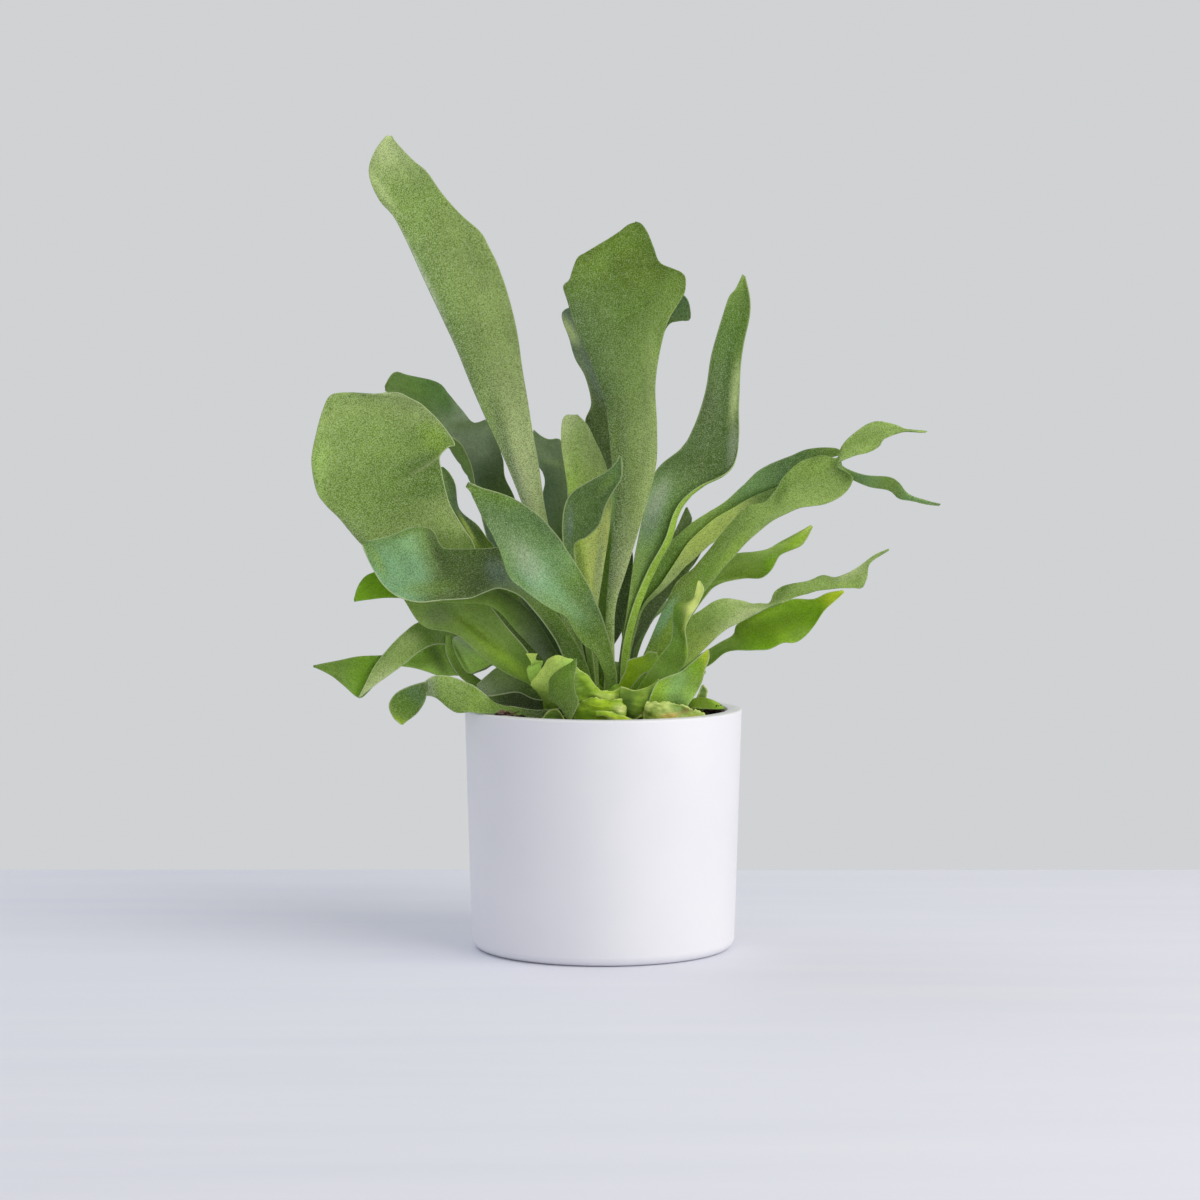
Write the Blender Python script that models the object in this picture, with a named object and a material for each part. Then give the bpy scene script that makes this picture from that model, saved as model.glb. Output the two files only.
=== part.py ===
"""Staghorn fern in a white ceramic pot. Metres, +Z up, origin at the middle of the pot's underside."""

import math

import bmesh
import bpy
import numpy as np
from mathutils import Vector, noise

MM = 0.001
CLEARANCE = 0.3  # all lengths below are in millimetres
SLOT_CLEARANCE = 0.5

# Pot: a slightly tapered cylinder with a rounded foot and a flat rim
POT_WIDTH = 139.0
POT_HEIGHT = 120.0
POT_FOOT_WIDTH = 132.0
POT_CORNER = 5.0
POT_WALL = 7.5
POT_FLOOR = 9.0
POT_SEGMENTS = 64
RIM_ROUND = 1.0

# Potting mix and the crown that stands in it
SOIL_TOP = 116.5
SOIL_SEGMENTS = 48
SOIL_RINGS = 7
SOIL_LUMP = 1.6
SOIL_LUMP_SIZE = 9.0
SOIL_EDGE = 0.5  # gap between the mix and the pot's wall at the top
CROWN_MIDDLE = (0.0, -9.0)
CROWN_WIDTH = 66.0
CROWN_TOP = 137.0
CROWN_BOTTOM = 98.0
CROWN_LUMP = 2.2
CROWN_LUMP_SIZE = 8.0
CROWN_WAIST = 1.3  # how high over the mix the crown starts to spread
CROWN_SEGMENTS = 32
CROWN_RINGS = 8
CROWN_NECK = 0.78  # width where it stands in the soil, as a share of its greatest

# Fronds: leathery blades. Their margins are laid out as they look from in front, to an eye this
# far away and this high, so a point behind the pot's axis lies a little further out than it looks.
BLADE = 1.3
EYE_DISTANCE = 1532.0
EYE_HEIGHT = 258.0
STATION_STEP = 11.5  # distance between rows of points along a blade
LEAST_ROWS = 7
COLUMNS = 4
TIP_WIDTH = 2.2
RIGHT_WAVE_LAG = 1.9  # the waves of the right margin come later than the left one's
STIFF_SHARE = 0.16  # the share of a blade, from its base, whose margins have no waves
WAVES_FULL = 0.56

# Each frond: left and right margins from base to tip as (x, z), the depth y of its midline and how
# much further back its right margin lies, both at even steps from base to tip. hollow is how deep
# the blade is dished between its margins, as a share of its width, and ripple and waves are the
# height and number of the waves in its margins.
FRONDS = {
    "frond_tall_left": dict(
        tone="light_green",
        left=[(-12, 126), (-18, 155), (-30, 190), (-41, 224), (-51, 248), (-65, 280), (-82, 318),
              (-99, 354), (-110, 374), (-115, 391), (-107, 407)],
        right=[(-5, 126), (-12, 158), (-20, 190), (-28, 214), (-32, 240), (-39, 283), (-45, 317),
               (-55, 345), (-66, 362), (-79, 376), (-96, 394), (-106, 406)],
        depth=[7, 10, 17, 25, 31, 34, 32, 26], tilt=[2, 3, 4, 6, 8, 6, 4, 2],
        hollow=0.10, ripple=1.2, waves=3),
    "frond_tall_centre": dict(
        tone="mid_green",
        left=[(0, 126), (1, 160), (0, 174), (3, 204), (5, 226), (3, 242), (2, 265), (-2, 283),
              (-9, 300), (-17, 319), (-20, 331), (-13, 344), (-1, 353), (15, 362)],
        right=[(6, 126), (7, 160), (9, 174), (13, 195), (20, 217), (26, 240), (27, 254), (26, 282),
               (30, 303), (37, 318), (41, 334), (33, 340), (26, 344), (22, 354), (16, 362)],
        depth=[-4, -4, -5, -6, -9, -12, -15, -14, -9], tilt=[0, 0, -1, -2, -4, -5, -5, -3, 0],
        hollow=0.08, ripple=1.4, waves=3),
    "frond_upright_right": dict(
        tone="teal_green",
        left=[(5, 126), (8, 150), (11, 168), (14, 190), (18, 212), (27, 239), (41, 254),
              (50, 274), (54, 296), (61, 319), (70, 336)],
        right=[(11, 126), (12, 150), (16, 170), (24, 188), (33, 203), (38, 219), (49, 230),
               (65, 241), (68, 256), (68, 277), (71, 305), (73, 322), (71, 335)],
        depth=[4, 4, 5, 7, 10, 13, 15, 14], tilt=[1, 2, 4, 6, 7, 5, 3, 1],
        hollow=0.16, ripple=1.0, waves=3),
    "frond_forked_right": dict(
        tone="mid_green",
        left=[(10, 126), (17, 145), (27, 165), (36, 182), (48, 191), (58, 206), (68, 217),
              (81, 222), (90, 238), (102, 246), (116, 249), (124, 257), (134, 263), (151, 261),
              (162, 259)],
        right=[(19, 126), (28, 142), (42, 164), (52, 180), (66, 197), (80, 210), (97, 220),
               (112, 223), (122, 229), (126, 240), (137, 250), (148, 255), (161, 257)],
        depth=[-7, -6, -3, 0, 4, 7, 8, 6, 3], tilt=[0, -3, -7, -8, -8, -7, -5, -2, 0],
        hollow=0.08, ripple=1.2, waves=4,
        fork=dict(
            left=[(104, 240), (117, 242), (131, 237), (143, 235), (151, 228), (162, 224), (169, 223)],
            right=[(104, 232), (117, 233), (133, 231), (145, 226), (153, 224), (168, 221)],
            depth=[9, 8, 7, 9, 12], tilt=[2, 3, 4, 2, 0], hollow=0.05, ripple=0.6, waves=1)),
    "frond_right_behind_fork": dict(
        tone="teal_green",
        left=[(12, 127), (18, 160), (28, 190), (44, 213), (60, 226), (75, 239), (87, 246),
              (104, 250), (117, 249)],
        right=[(17, 127), (25, 158), (36, 186), (50, 203), (64, 216), (77, 230), (89, 238),
               (105, 243), (117, 247)],
        depth=[5, 13, 19, 23, 26, 27, 26], tilt=[0, 3, 6, 8, 8, 5, 1],
        hollow=0.06, ripple=0.8, waves=3),
    "frond_right_short": dict(
        tone="mid_green",
        left=[(16, 127), (28, 152), (45, 175), (58, 190), (66, 198), (77, 199), (91, 204),
              (104, 212)],
        right=[(21, 127), (36, 152), (52, 177), (72, 185), (85, 189), (91, 198), (103, 206),
               (105, 211)],
        depth=[1, 7, 12, 14, 15, 16], tilt=[0, 2, 3, 4, 3, 0],
        hollow=0.06, ripple=0.8, waves=2),
    "frond_right_long": dict(
        tone="mid_green",
        left=[(15, 127), (28, 146), (41, 161), (52, 171), (62, 176), (76, 173), (84, 173),
              (92, 182), (103, 184), (120, 186), (131, 193), (143, 200)],
        right=[(22, 125), (34, 136), (41, 140), (49, 148), (66, 161), (80, 169), (101, 176),
               (119, 179), (130, 181), (134, 191), (143, 198)],
        depth=[-12, -17, -24, -29, -32, -35, -39, -42], tilt=[0, -3, -5, -6, -6, -5, -3, -1],
        hollow=0.08, ripple=1.3, waves=4),
    "frond_yellow_tip": dict(
        tone="yellow_green",
        left=[(14, 126), (30, 140), (50, 149), (66, 161), (82, 170), (98, 176), (112, 178),
              (120, 178)],
        right=[(19, 124), (34, 133), (52, 141), (66, 149), (82, 149), (100, 155), (109, 164),
               (119, 175)],
        depth=[-9, -12, -15, -17, -19, -22, -26], tilt=[0, -2, -6, -8, -8, -5, -1],
        hollow=0.10, ripple=0.8, waves=2),
    "frond_curled_right": dict(
        tone="yellow_green",
        left=[(12, 119), (20, 134), (28, 143), (34, 152), (34, 162), (35, 172), (41, 180),
              (48, 184)],
        right=[(18, 117), (32, 131), (41, 141), (42, 150), (41, 160), (46, 168), (50, 176),
               (50, 183)],
        depth=[-29, -34, -40, -42, -38, -33, -32], tilt=[0, 4, 6, 3, -4, -6, -1],
        hollow=0.14, ripple=0.6, waves=1),
    "frond_shield_right": dict(
        tone="teal_green",
        left=[(26, 108), (23, 124), (28, 134), (41, 140), (54, 150)],
        right=[(39, 108), (45, 124), (50, 134), (53, 143), (55, 149)],
        depth=[-44, -46, -49, -51, -53], tilt=[4, 4, 2, 0, 0],
        hollow=0.10, ripple=0.6, waves=1),
    "frond_rim_right": dict(
        tone="yellow_green",
        left=[(38, 108), (42, 123), (53, 126), (61, 124)],
        right=[(43, 108), (49, 118), (56, 121), (61, 122)],
        depth=[-28, -30, -31, -30], tilt=[-2, -6, -6, -1],
        hollow=0.05, ripple=0.4, waves=1),
    "frond_small_olive": dict(
        tone="mid_green",
        left=[(6, 129), (10, 139), (14, 146), (21, 148), (28, 147)],
        right=[(12, 127), (15, 134), (22, 138), (26, 141), (29, 145)],
        depth=[-20, -22, -24, -26, -27], tilt=[0, -3, -4, -3, 0],
        hollow=0.08, ripple=0.5, waves=1),
    "frond_front_teal": dict(
        tone="teal_green",
        left=[(0, 126), (1, 134), (-5, 149), (-15, 157), (-25, 168), (-37, 176), (-47, 187),
              (-54, 203), (-61, 217), (-67, 228), (-69, 231)],
        right=[(7, 126), (6, 140), (2, 158), (-4, 174), (-10, 187), (-24, 208), (-33, 218),
               (-46, 226), (-59, 231), (-68, 234)],
        depth=[-14, -19, -27, -34, -40, -44, -47, -50], tilt=[1, 2, 4, 8, 10, 8, 4, 1],
        hollow=0.09, ripple=1.2, waves=3),
    "frond_left_level": dict(
        tone="teal_green",
        left=[(-10, 125), (-18, 138), (-30, 156), (-42, 175), (-60, 178), (-77, 174), (-98, 173),
              (-108, 180), (-118, 194), (-122, 202)],
        right=[(-4, 127), (-10, 144), (-21, 160), (-34, 180), (-53, 200), (-69, 200), (-81, 203),
               (-86, 210), (-100, 210), (-118, 205), (-122, 204)],
        depth=[-10, -14, -20, -24, -27, -30, -32], tilt=[0, 2, 6, 9, 10, 6, 1],
        hollow=0.08, ripple=1.2, waves=3),
    "frond_left_fan": dict(
        tone="light_green",
        left=[(-26, 121), (-36, 131), (-48, 137), (-60, 145), (-74, 157), (-90, 163), (-99, 174),
              (-110, 190), (-124, 204), (-139, 222), (-146, 240), (-141, 264), (-136, 277),
              (-119, 277), (-108, 279)],
        right=[(-22, 127), (-34, 141), (-43, 153), (-56, 168), (-66, 176), (-76, 199), (-76, 222),
               (-81, 241), (-75, 252), (-80, 262), (-88, 270), (-97, 277), (-104, 279)],
        depth=[-18, -17, -14, -9, -6, -3, 0, 2, 1], tilt=[0, 1, 3, 4, 4, 2, 0, -1, 0],
        hollow=0.07, ripple=1.6, waves=4),
    "frond_left_behind_level": dict(
        tone="yellow_green",
        left=[(-16, 127), (-30, 144), (-43, 158), (-56, 171), (-78, 173), (-104, 174), (-119, 173),
              (-125, 175)],
        right=[(-11, 128), (-24, 149), (-36, 168), (-50, 179), (-70, 190), (-100, 191), (-119, 184),
               (-124, 178)],
        depth=[-6, -9, -14, -19, -21, -22, -24], tilt=[0, 1, 2, 3, 3, 2, 0],
        hollow=0.06, ripple=0.6, waves=2),
    "frond_left_drooping": dict(
        tone="mid_green",
        left=[(-20, 126), (-40, 139), (-64, 148), (-88, 149), (-107, 137), (-122, 125), (-134, 134),
              (-147, 141)],
        right=[(-17, 129), (-36, 147), (-60, 158), (-80, 164), (-94, 162), (-112, 147), (-130, 145),
               (-148, 143)],
        depth=[-4, -3, -3, -3, -6, -11, -16], tilt=[0, 1, 2, 2, 1, 1, 0],
        hollow=0.06, ripple=0.6, waves=2),
    "frond_left_under": dict(
        tone="light_green",
        left=[(-18, 124), (-34, 128), (-55, 131), (-72, 133), (-86, 137), (-100, 140)],
        right=[(-16, 128), (-34, 139), (-56, 150), (-78, 158), (-90, 156), (-101, 142)],
        depth=[7, 9, 11, 12, 10, 7], tilt=[0, 1, 2, 3, 3, 0],
        hollow=0.10, ripple=0.6, waves=1),
    "frond_left_narrow": dict(
        tone="dark_green",
        left=[(-20, 122), (-40, 128), (-58, 129), (-72, 132), (-79, 148), (-79, 157)],
        right=[(-17, 126), (-38, 135), (-56, 137), (-67, 140), (-75, 150), (-77, 159)],
        depth=[3, 4, 5, 6, 6, 5], tilt=[0, 1, 1, 1, 1, 0],
        hollow=0.04, ripple=0.3, waves=1),
    "frond_left_light": dict(
        tone="light_green",
        left=[(-22, 122), (-36, 129), (-52, 135), (-67, 137), (-73, 147), (-76, 154)],
        right=[(-20, 127), (-32, 137), (-44, 144), (-57, 148), (-68, 154), (-75, 156)],
        depth=[0, 0, 1, 1, 1, 0], tilt=[0, 0, 1, 2, 1, 0],
        hollow=0.08, ripple=0.5, waves=1),
    "frond_left_dark": dict(
        tone="dark_green",
        left=[(-23, 121), (-32, 119), (-45, 121), (-56, 126), (-63, 132)],
        right=[(-20, 127), (-33, 133), (-44, 137), (-54, 140), (-62, 134)],
        depth=[-10, -9, -8, -8, -8], tilt=[0, 1, 2, 2, 0],
        hollow=0.08, ripple=0.5, waves=1),
    "frond_rim_left": dict(
        tone="mid_green",
        left=[(-18, 115), (-35, 117), (-52, 119), (-66, 122), (-79, 123), (-90, 127), (-93, 120),
              (-99, 113), (-101, 112)],
        right=[(-17, 121), (-38, 123), (-58, 129), (-68, 134), (-85, 137), (-98, 131), (-107, 123),
               (-105, 115), (-102, 112)],
        depth=[-33, -35, -35, -33, -31, -30, -29], tilt=[0, 3, 6, 8, 5, 2, 0],
        hollow=0.05, ripple=0.9, waves=3),
    "frond_back_left": dict(
        tone="dark_green",
        left=[(-14, 128), (-31, 146), (-49, 178), (-58, 204), (-66, 232), (-77, 250), (-88, 264),
              (-100, 273), (-109, 280)],
        right=[(-10, 130), (-25, 150), (-42, 184), (-44, 207), (-44, 226), (-50, 248), (-58, 264),
               (-66, 263), (-74, 271), (-90, 286), (-105, 288), (-109, 283)],
        depth=[14, 20, 29, 37, 43, 48, 52], tilt=[0, 1, 2, 4, 4, 2, 0],
        hollow=0.08, ripple=1.0, waves=3),
    "frond_back_middle": dict(
        tone="dark_green",
        left=[(-8, 129), (-14, 150), (-24, 190), (-30, 220), (-32, 240), (-35, 257)],
        right=[(-4, 130), (-8, 152), (-14, 190), (-17, 220), (-19, 240), (-21, 254), (-28, 254), (-33, 258)],
        depth=[16, 22, 30, 36, 40, 42], tilt=[0, 1, 2, 2, 1, 0],
        hollow=0.10, ripple=0.8, waves=2),
    "frond_blunt_centre": dict(
        tone="light_green",
        left=[(-7, 127), (-9, 155), (-13, 185), (-16, 208), (-18, 231), (-21, 252), (-20, 263),
              (-15, 267)],
        right=[(-2, 128), (-3, 160), (-1, 187), (3, 205), (4, 224), (1, 240), (-5, 256),
               (-12, 266)],
        depth=[-3, 0, 4, 7, 10, 12], tilt=[0, 1, 2, 2, 1, 0],
        hollow=0.10, ripple=0.8, waves=2),
    "frond_twisted_dark": dict(
        tone="dark_green",
        left=[(-6, 128), (-10, 155), (-18, 185), (-21, 204), (-20, 219), (-15, 229), (-5, 235),
              (4, 239), (8, 245)],
        right=[(-3, 128), (-6, 152), (-12, 180), (-14, 201), (-4, 208), (0, 216), (5, 227),
               (10, 239), (9, 244)],
        depth=[-8, -10, -13, -15, -17, -19, -20], tilt=[0, 0, 2, 4, 2, 0, 0],
        hollow=0.10, ripple=0.6, waves=2),
    "frond_behind_centre": dict(
        tone="dark_green",
        left=[(4, 128), (3, 160), (2, 200), (3, 236), (-8, 264), (-6, 274), (-10, 287), (-16, 303),
              (-20, 317), (-6, 324), (10, 330)],
        right=[(9, 128), (10, 160), (14, 200), (20, 240), (22, 270), (26, 295), (36, 311),
               (43, 315), (42, 325), (30, 331), (14, 331)],
        depth=[12, 14, 17, 19, 20, 19, 16], tilt=[0, 1, 2, 2, 1, 0, 0],
        hollow=0.08, ripple=1.0, waves=3),
    "frond_back_right": dict(
        tone="dark_green",
        left=[(11, 130), (14, 150), (20, 172), (32, 188), (44, 199)],
        right=[(14, 129), (20, 146), (28, 165), (40, 184), (47, 197)],
        depth=[12, 15, 20, 25, 28], tilt=[0, 1, 2, 2, 0],
        hollow=0.10, ripple=0.5, waves=1),
    "frond_behind_fan": dict(
        tone="dark_green",
        left=[(-15, 126), (-33, 148), (-52, 176), (-66, 196), (-77, 216), (-82, 232), (-82, 241)],
        right=[(-10, 127), (-25, 148), (-42, 176), (-55, 202), (-62, 214), (-71, 222), (-75, 236),
               (-80, 241)],
        depth=[2, 6, 10, 12, 13, 13], tilt=[0, 1, 2, 2, 1, 0],
        hollow=0.10, ripple=0.6, waves=1),
    "frond_front_folded": dict(
        tone="yellow_green",
        left=[(-28, 116), (-35, 130), (-30, 141), (-24, 140), (-27, 132), (-26, 124), (-21, 119),
              (-18, 115)],
        right=[(-18, 116), (-17, 132), (-15, 143), (-14, 143), (-13, 134), (-13, 125), (-14, 119),
               (-17, 115)],
        depth=[-28, -27, -31, -43, -52, -58, -60], tilt=[0, 0, 0, 0, 0, 0, 0],
        hollow=0.08, ripple=0.3, waves=1),
    "frond_shield_front": dict(
        tone="yellow_green",
        left=[(20, 109), (20, 120), (24, 125), (34, 125)],
        right=[(32, 109), (38, 118), (42, 122), (37, 124)],
        depth=[-49, -51, -53, -55], tilt=[1, 2, 1, 0],
        hollow=0.06, ripple=0.8, waves=1),
    "frond_small_left": dict(
        tone="yellow_green",
        left=[(-19, 124), (-28, 132), (-35, 139), (-39, 143)],
        right=[(-15, 126), (-23, 134), (-29, 142), (-37, 144)],
        depth=[-22, -23, -24, -25], tilt=[0, 1, 1, 0],
        hollow=0.08, ripple=0.3, waves=1),
}

# Fronds on the far side, by the direction that they grow in (degrees from +X towards +Y), the
# distances of their foot and tip from the axis, how high they arch over their foot, the height of
# the tip and the greatest width
REAR_FRONDS = {
    "frond_rear_steep": dict(direction=92, foot=18, reach=78, rise=98, tip=236, width=25),
    "frond_rear_broad": dict(direction=101, foot=22, reach=122, rise=60, tip=172, width=34, fork=24),
    "frond_rear_left": dict(direction=126, foot=23, reach=112, rise=62, tip=186, width=28, fork=-22),
    "frond_rear_right": dict(direction=62, foot=21, reach=100, rise=54, tip=168, width=26),
    "frond_rear_low_left": dict(direction=145, foot=25, reach=84, rise=12, tip=124, width=20),
    "frond_rear_low_right": dict(direction=46, foot=23, reach=76, rise=20, tip=133, width=18),
    "frond_rear_hanging_right": dict(direction=76, foot=24, reach=118, rise=25, tip=96, width=26, fork=20),
    "frond_rear_hanging_left": dict(direction=112, foot=25, reach=108, rise=21, tip=104, width=24),
}
REAR_FOOT_HEIGHT = 119.0
REAR_WIDTHS = (0.13, 0.20, 0.45, 0.85, 1.0, 0.8, 0.06)  # widths along, as shares of the greatest
TINE_STARTS = 0.62  # share of the reach at which a rear frond forks
TINE_STARTS_ALONG = 0.68  # the same place as a share of the frond's length
TINE_SINKS = 0.4
TINE_REACH = 0.42
TINE_FALL = 0.5
TINE_HALF_WIDTHS = ((0, 0.30), (0.25, 0.34), (0.6, 0.26), (1, 0.04))  # (share along, share of width)

SOIL_FRONDS = ("frond_shield_right", "frond_shield_front", "frond_rim_right")  # beside the crown
SOIL_SLOT_REACH = 0.5  # share of a frond's length that its slot follows
CROWN_SLOT_REACH = 0.4
LEAF_ROUGHNESS = 0.55
SHARP_EDGE = math.radians(35)

COLOURS = {
    "pot": (0.84, 0.85, 0.87),
    "soil": (0.035, 0.026, 0.022),
    "crown": (0.34, 0.46, 0.05),
    "light_green": (0.25, 0.38, 0.12),
    "mid_green": (0.11, 0.22, 0.04),
    "teal_green": (0.10, 0.22, 0.10),
    "dark_green": (0.06, 0.11, 0.04),
    "yellow_green": (0.26, 0.42, 0.04),
}


def remove_everything():
    for obj in list(bpy.data.objects):
        bpy.data.objects.remove(obj)


def material(name, roughness):
    found = bpy.data.materials.get(name)
    if found:
        return found
    made = bpy.data.materials.new(name)
    made.use_nodes = True
    shader = made.node_tree.nodes["Principled BSDF"]
    shader.inputs["Base Color"].default_value = (*COLOURS[name], 1)
    shader.inputs["Roughness"].default_value = roughness
    shader.inputs["Metallic"].default_value = 0
    return made


def new_object(name, points, faces, finish):
    """A mesh object from points in millimetres."""
    mesh = bpy.data.meshes.new(name)
    mesh.from_pydata([Vector(p) * MM for p in points], [], faces)
    mesh.validate()
    obj = bpy.data.objects.new(name, mesh)
    bpy.context.scene.collection.objects.link(obj)
    mesh.materials.append(finish)
    mesh.shade_smooth()
    mesh.set_sharp_from_angle(angle=SHARP_EDGE)
    return obj


def apply_modifiers(obj):
    """Replaces the object's mesh by what its modifiers make of it."""
    graph = bpy.context.evaluated_depsgraph_get()
    made = bpy.data.meshes.new_from_object(obj.evaluated_get(graph))
    obj.modifiers.clear()
    obj.data = made


def cut_or_join(obj, others, operation, solver="EXACT"):
    """Joins the other objects to this one or cuts them from it, and removes them."""
    group = bpy.data.collections.new(obj.name + "_tools")
    bpy.context.scene.collection.children.link(group)
    for other in others:
        bpy.context.scene.collection.objects.unlink(other)
        group.objects.link(other)
    step = obj.modifiers.new(operation.lower(), "BOOLEAN")
    step.operation = operation
    step.operand_type = "COLLECTION"
    step.collection = group
    step.solver = solver
    apply_modifiers(obj)
    for other in others:
        bpy.data.objects.remove(other)
    bpy.data.collections.remove(group)


def placed(x, z, depth):
    """The point that looks to be at (x, z) from in front and lies at this depth."""
    further = 1 + depth / EYE_DISTANCE
    return Vector((x * further, depth, EYE_HEIGHT + (z - EYE_HEIGHT) * further))


def smooth(values, share):
    """The value at a share of the way along a list of evenly spaced ones, by a cubic through them."""
    values = np.asarray(values, float)
    at = share * (len(values) - 1)
    i = min(int(at), len(values) - 2)
    before, after = values[max(i - 1, 0)], values[min(i + 2, len(values) - 1)]
    start, end, t = values[i], values[i + 1], at - i
    out, into = (end - before) / 2, (after - start) / 2
    return (
        start * (2 * t**3 - 3 * t**2 + 1) + out * (t**3 - 2 * t**2 + t)
        + end * (3 * t**2 - 2 * t**3) + into * (t**3 - t**2)
    )


def even_path(points, count):
    """count points at even distances along a smooth curve through these points."""
    dense = np.array([smooth(points, share) for share in np.linspace(0, 1, 12 * len(points))])
    steps = np.linalg.norm(np.diff(dense, axis=0), axis=1)
    along = np.concatenate([[0], np.cumsum(steps)])
    wanted = np.linspace(0, along[-1], count)
    return np.stack([np.interp(wanted, along, dense[:, k]) for k in range(dense.shape[1])], axis=1)


def length_of(points):
    return float(np.linalg.norm(np.diff(np.asarray(points, float), axis=0), axis=1).sum())


def rear_frond(direction, foot, reach, rise, tip, width, fork=0):
    """A frond that arches out from the crown to the far side, with its margins as points in space.
    fork turns a tine off to one side by that many degrees."""
    out = Vector((math.cos(math.radians(direction)), math.sin(math.radians(direction)), 0))
    aside = Vector((out.y, -out.x, 0))
    start = REAR_FOOT_HEIGHT
    top = start + rise
    spine = [(foot, start), (foot + 0.08 * reach, start + 0.45 * rise),
             (0.40 * reach, start + 0.88 * rise), (0.70 * reach, (2 * top + tip) / 3), (reach, tip)]
    left, right = [], []
    for i, share in enumerate(REAR_WIDTHS):
        along = i / (len(REAR_WIDTHS) - 1)
        distance, height = (smooth([p[k] for p in spine], along) for k in (0, 1))
        middle = out * distance + Vector((0, 0, height))
        left.append(tuple(middle - aside * width / 2 * share))
        right.append(tuple(middle + aside * width / 2 * share))
    frond = dict(tone="mid_green", left=left, right=right, hollow=0.09, ripple=1.2, waves=3)
    if fork:
        turned_by = math.radians(fork)
        side = (out * math.cos(turned_by) + aside * math.sin(turned_by)).normalized()
        across = Vector((side.y, -side.x, 0))
        root = out * TINE_STARTS * reach
        root.z = smooth([p[1] for p in spine], TINE_STARTS_ALONG) - TINE_SINKS
        run = side * reach * TINE_REACH + Vector((0, 0, (tip - root.z) * TINE_FALL))
        tine_left, tine_right = [], []
        for step, share in TINE_HALF_WIDTHS:
            middle = root + run * step
            tine_left.append(tuple(middle - across * width * share))
            tine_right.append(tuple(middle + across * width * share))
        frond["fork"] = dict(left=tine_left, right=tine_right, hollow=0.03, ripple=0.3, waves=1)
    return frond


def margins(frond, count):
    """The left and right margins in space, count points each."""
    sides = []
    for side, sign in (("left", -0.5), ("right", 0.5)):
        path = even_path(frond[side], count)
        if path.shape[1] == 3:
            sides.append(path)
            continue
        points = []
        for i, (x, z) in enumerate(path):
            share = i / (count - 1)
            y = smooth(frond["depth"], share) + sign * smooth(frond["tilt"], share)
            points.append(placed(x, z, y))
        sides.append(np.array(points))
    return sides


def blade_grid(frond, count, columns):
    """The blade's middle surface, as rows of points from base to tip, and its normals."""
    left, right = margins(frond, count)
    middle = (left + right) / 2
    along = np.gradient(middle, axis=0)
    across = right - left
    width = np.linalg.norm(across, axis=1, keepdims=True)
    side = across / np.maximum(width, 1e-6)
    narrow = width[:, 0] < TIP_WIDTH
    for i in np.nonzero(narrow)[0]:
        side[i] = side[i - 1] if i else side[i]
    width = np.maximum(width, TIP_WIDTH)
    facing = np.cross(side, along)
    facing /= np.linalg.norm(facing, axis=1, keepdims=True)
    share = np.linspace(0, 1, count)[:, None]
    grid = np.empty((count, columns + 1, 3))
    for j in range(columns + 1):
        v = 2 * j / columns - 1
        phase = math.tau * frond["waves"] * share + (RIGHT_WAVE_LAG if v > 0 else 0)
        free = np.clip((share - STIFF_SHARE) / (WAVES_FULL - STIFF_SHARE), 0, 1)
        wave = frond["ripple"] * np.sin(phase) * v * v * free
        dish = -frond["hollow"] * width * (1 - v * v)
        grid[:, j] = middle + side * width * v / 2 + facing * (dish + wave)
    normals = np.cross(np.gradient(grid, axis=1), np.gradient(grid, axis=0))
    normals /= np.linalg.norm(normals, axis=2, keepdims=True)
    return grid, normals


def blade_solid(name, frond, thickness, finish, grow=0.0, reach=1.0):
    """A blade of even thickness, split into triangles alike on both faces. grow widens it at its
    margins, and reach is the share of its length that is made."""
    count = max(LEAST_ROWS, round(length_of(frond["left"]) / STATION_STEP) + 1)
    grid, normals = blade_grid(frond, count, COLUMNS)
    rows = max(2, round(count * reach)) if reach < 1 else count
    grid, normals = grid[:rows], normals[:rows]
    if grow:
        outward = grid[:, -1] - grid[:, 0]
        outward /= np.linalg.norm(outward, axis=1, keepdims=True)
        grid[:, 0] -= outward * grow
        grid[:, -1] += outward * grow
        down = grid[0] - grid[1]
        grid[0] += down / np.linalg.norm(down, axis=1, keepdims=True) * grow
    front = (grid + normals * thickness / 2).reshape(-1, 3)
    back = (grid - normals * thickness / 2).reshape(-1, 3)
    wide = COLUMNS + 1
    far = rows * wide
    faces = []
    for i in range(rows - 1):
        for j in range(COLUMNS):
            a, b = i * wide + j, i * wide + j + 1
            c, d = b + wide, a + wide
            for one, two, three in ((a, b, c), (a, c, d)):
                faces.append((one, two, three))
                faces.append((far + one, far + three, far + two))
    rim = [i * wide for i in range(rows)]
    rim += [(rows - 1) * wide + j for j in range(1, wide)]
    rim += [i * wide + COLUMNS for i in range(rows - 2, -1, -1)]
    rim += list(range(COLUMNS - 1, 0, -1))
    for one, two in zip(rim, rim[1:] + rim[:1]):
        faces += [(one, two, far + two), (one, far + two, far + one)]
    obj = new_object(name, np.concatenate([front, back]), faces, finish)
    tidy = bmesh.new()
    tidy.from_mesh(obj.data)
    bmesh.ops.recalc_face_normals(tidy, faces=tidy.faces)
    tidy.to_mesh(obj.data)
    tidy.free()
    return obj


def all_fronds():
    rear = {name: rear_frond(**sizes) for name, sizes in REAR_FRONDS.items()}
    return FRONDS | rear


def make_fronds():
    for name, frond in all_fronds().items():
        leaf = material(frond["tone"], LEAF_ROUGHNESS)
        obj = blade_solid(name, frond, BLADE, leaf)
        if "fork" in frond:
            tine = blade_solid(name + "_tine", frond["fork"], BLADE, leaf)
            cut_or_join(obj, [tine], "UNION")


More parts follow.
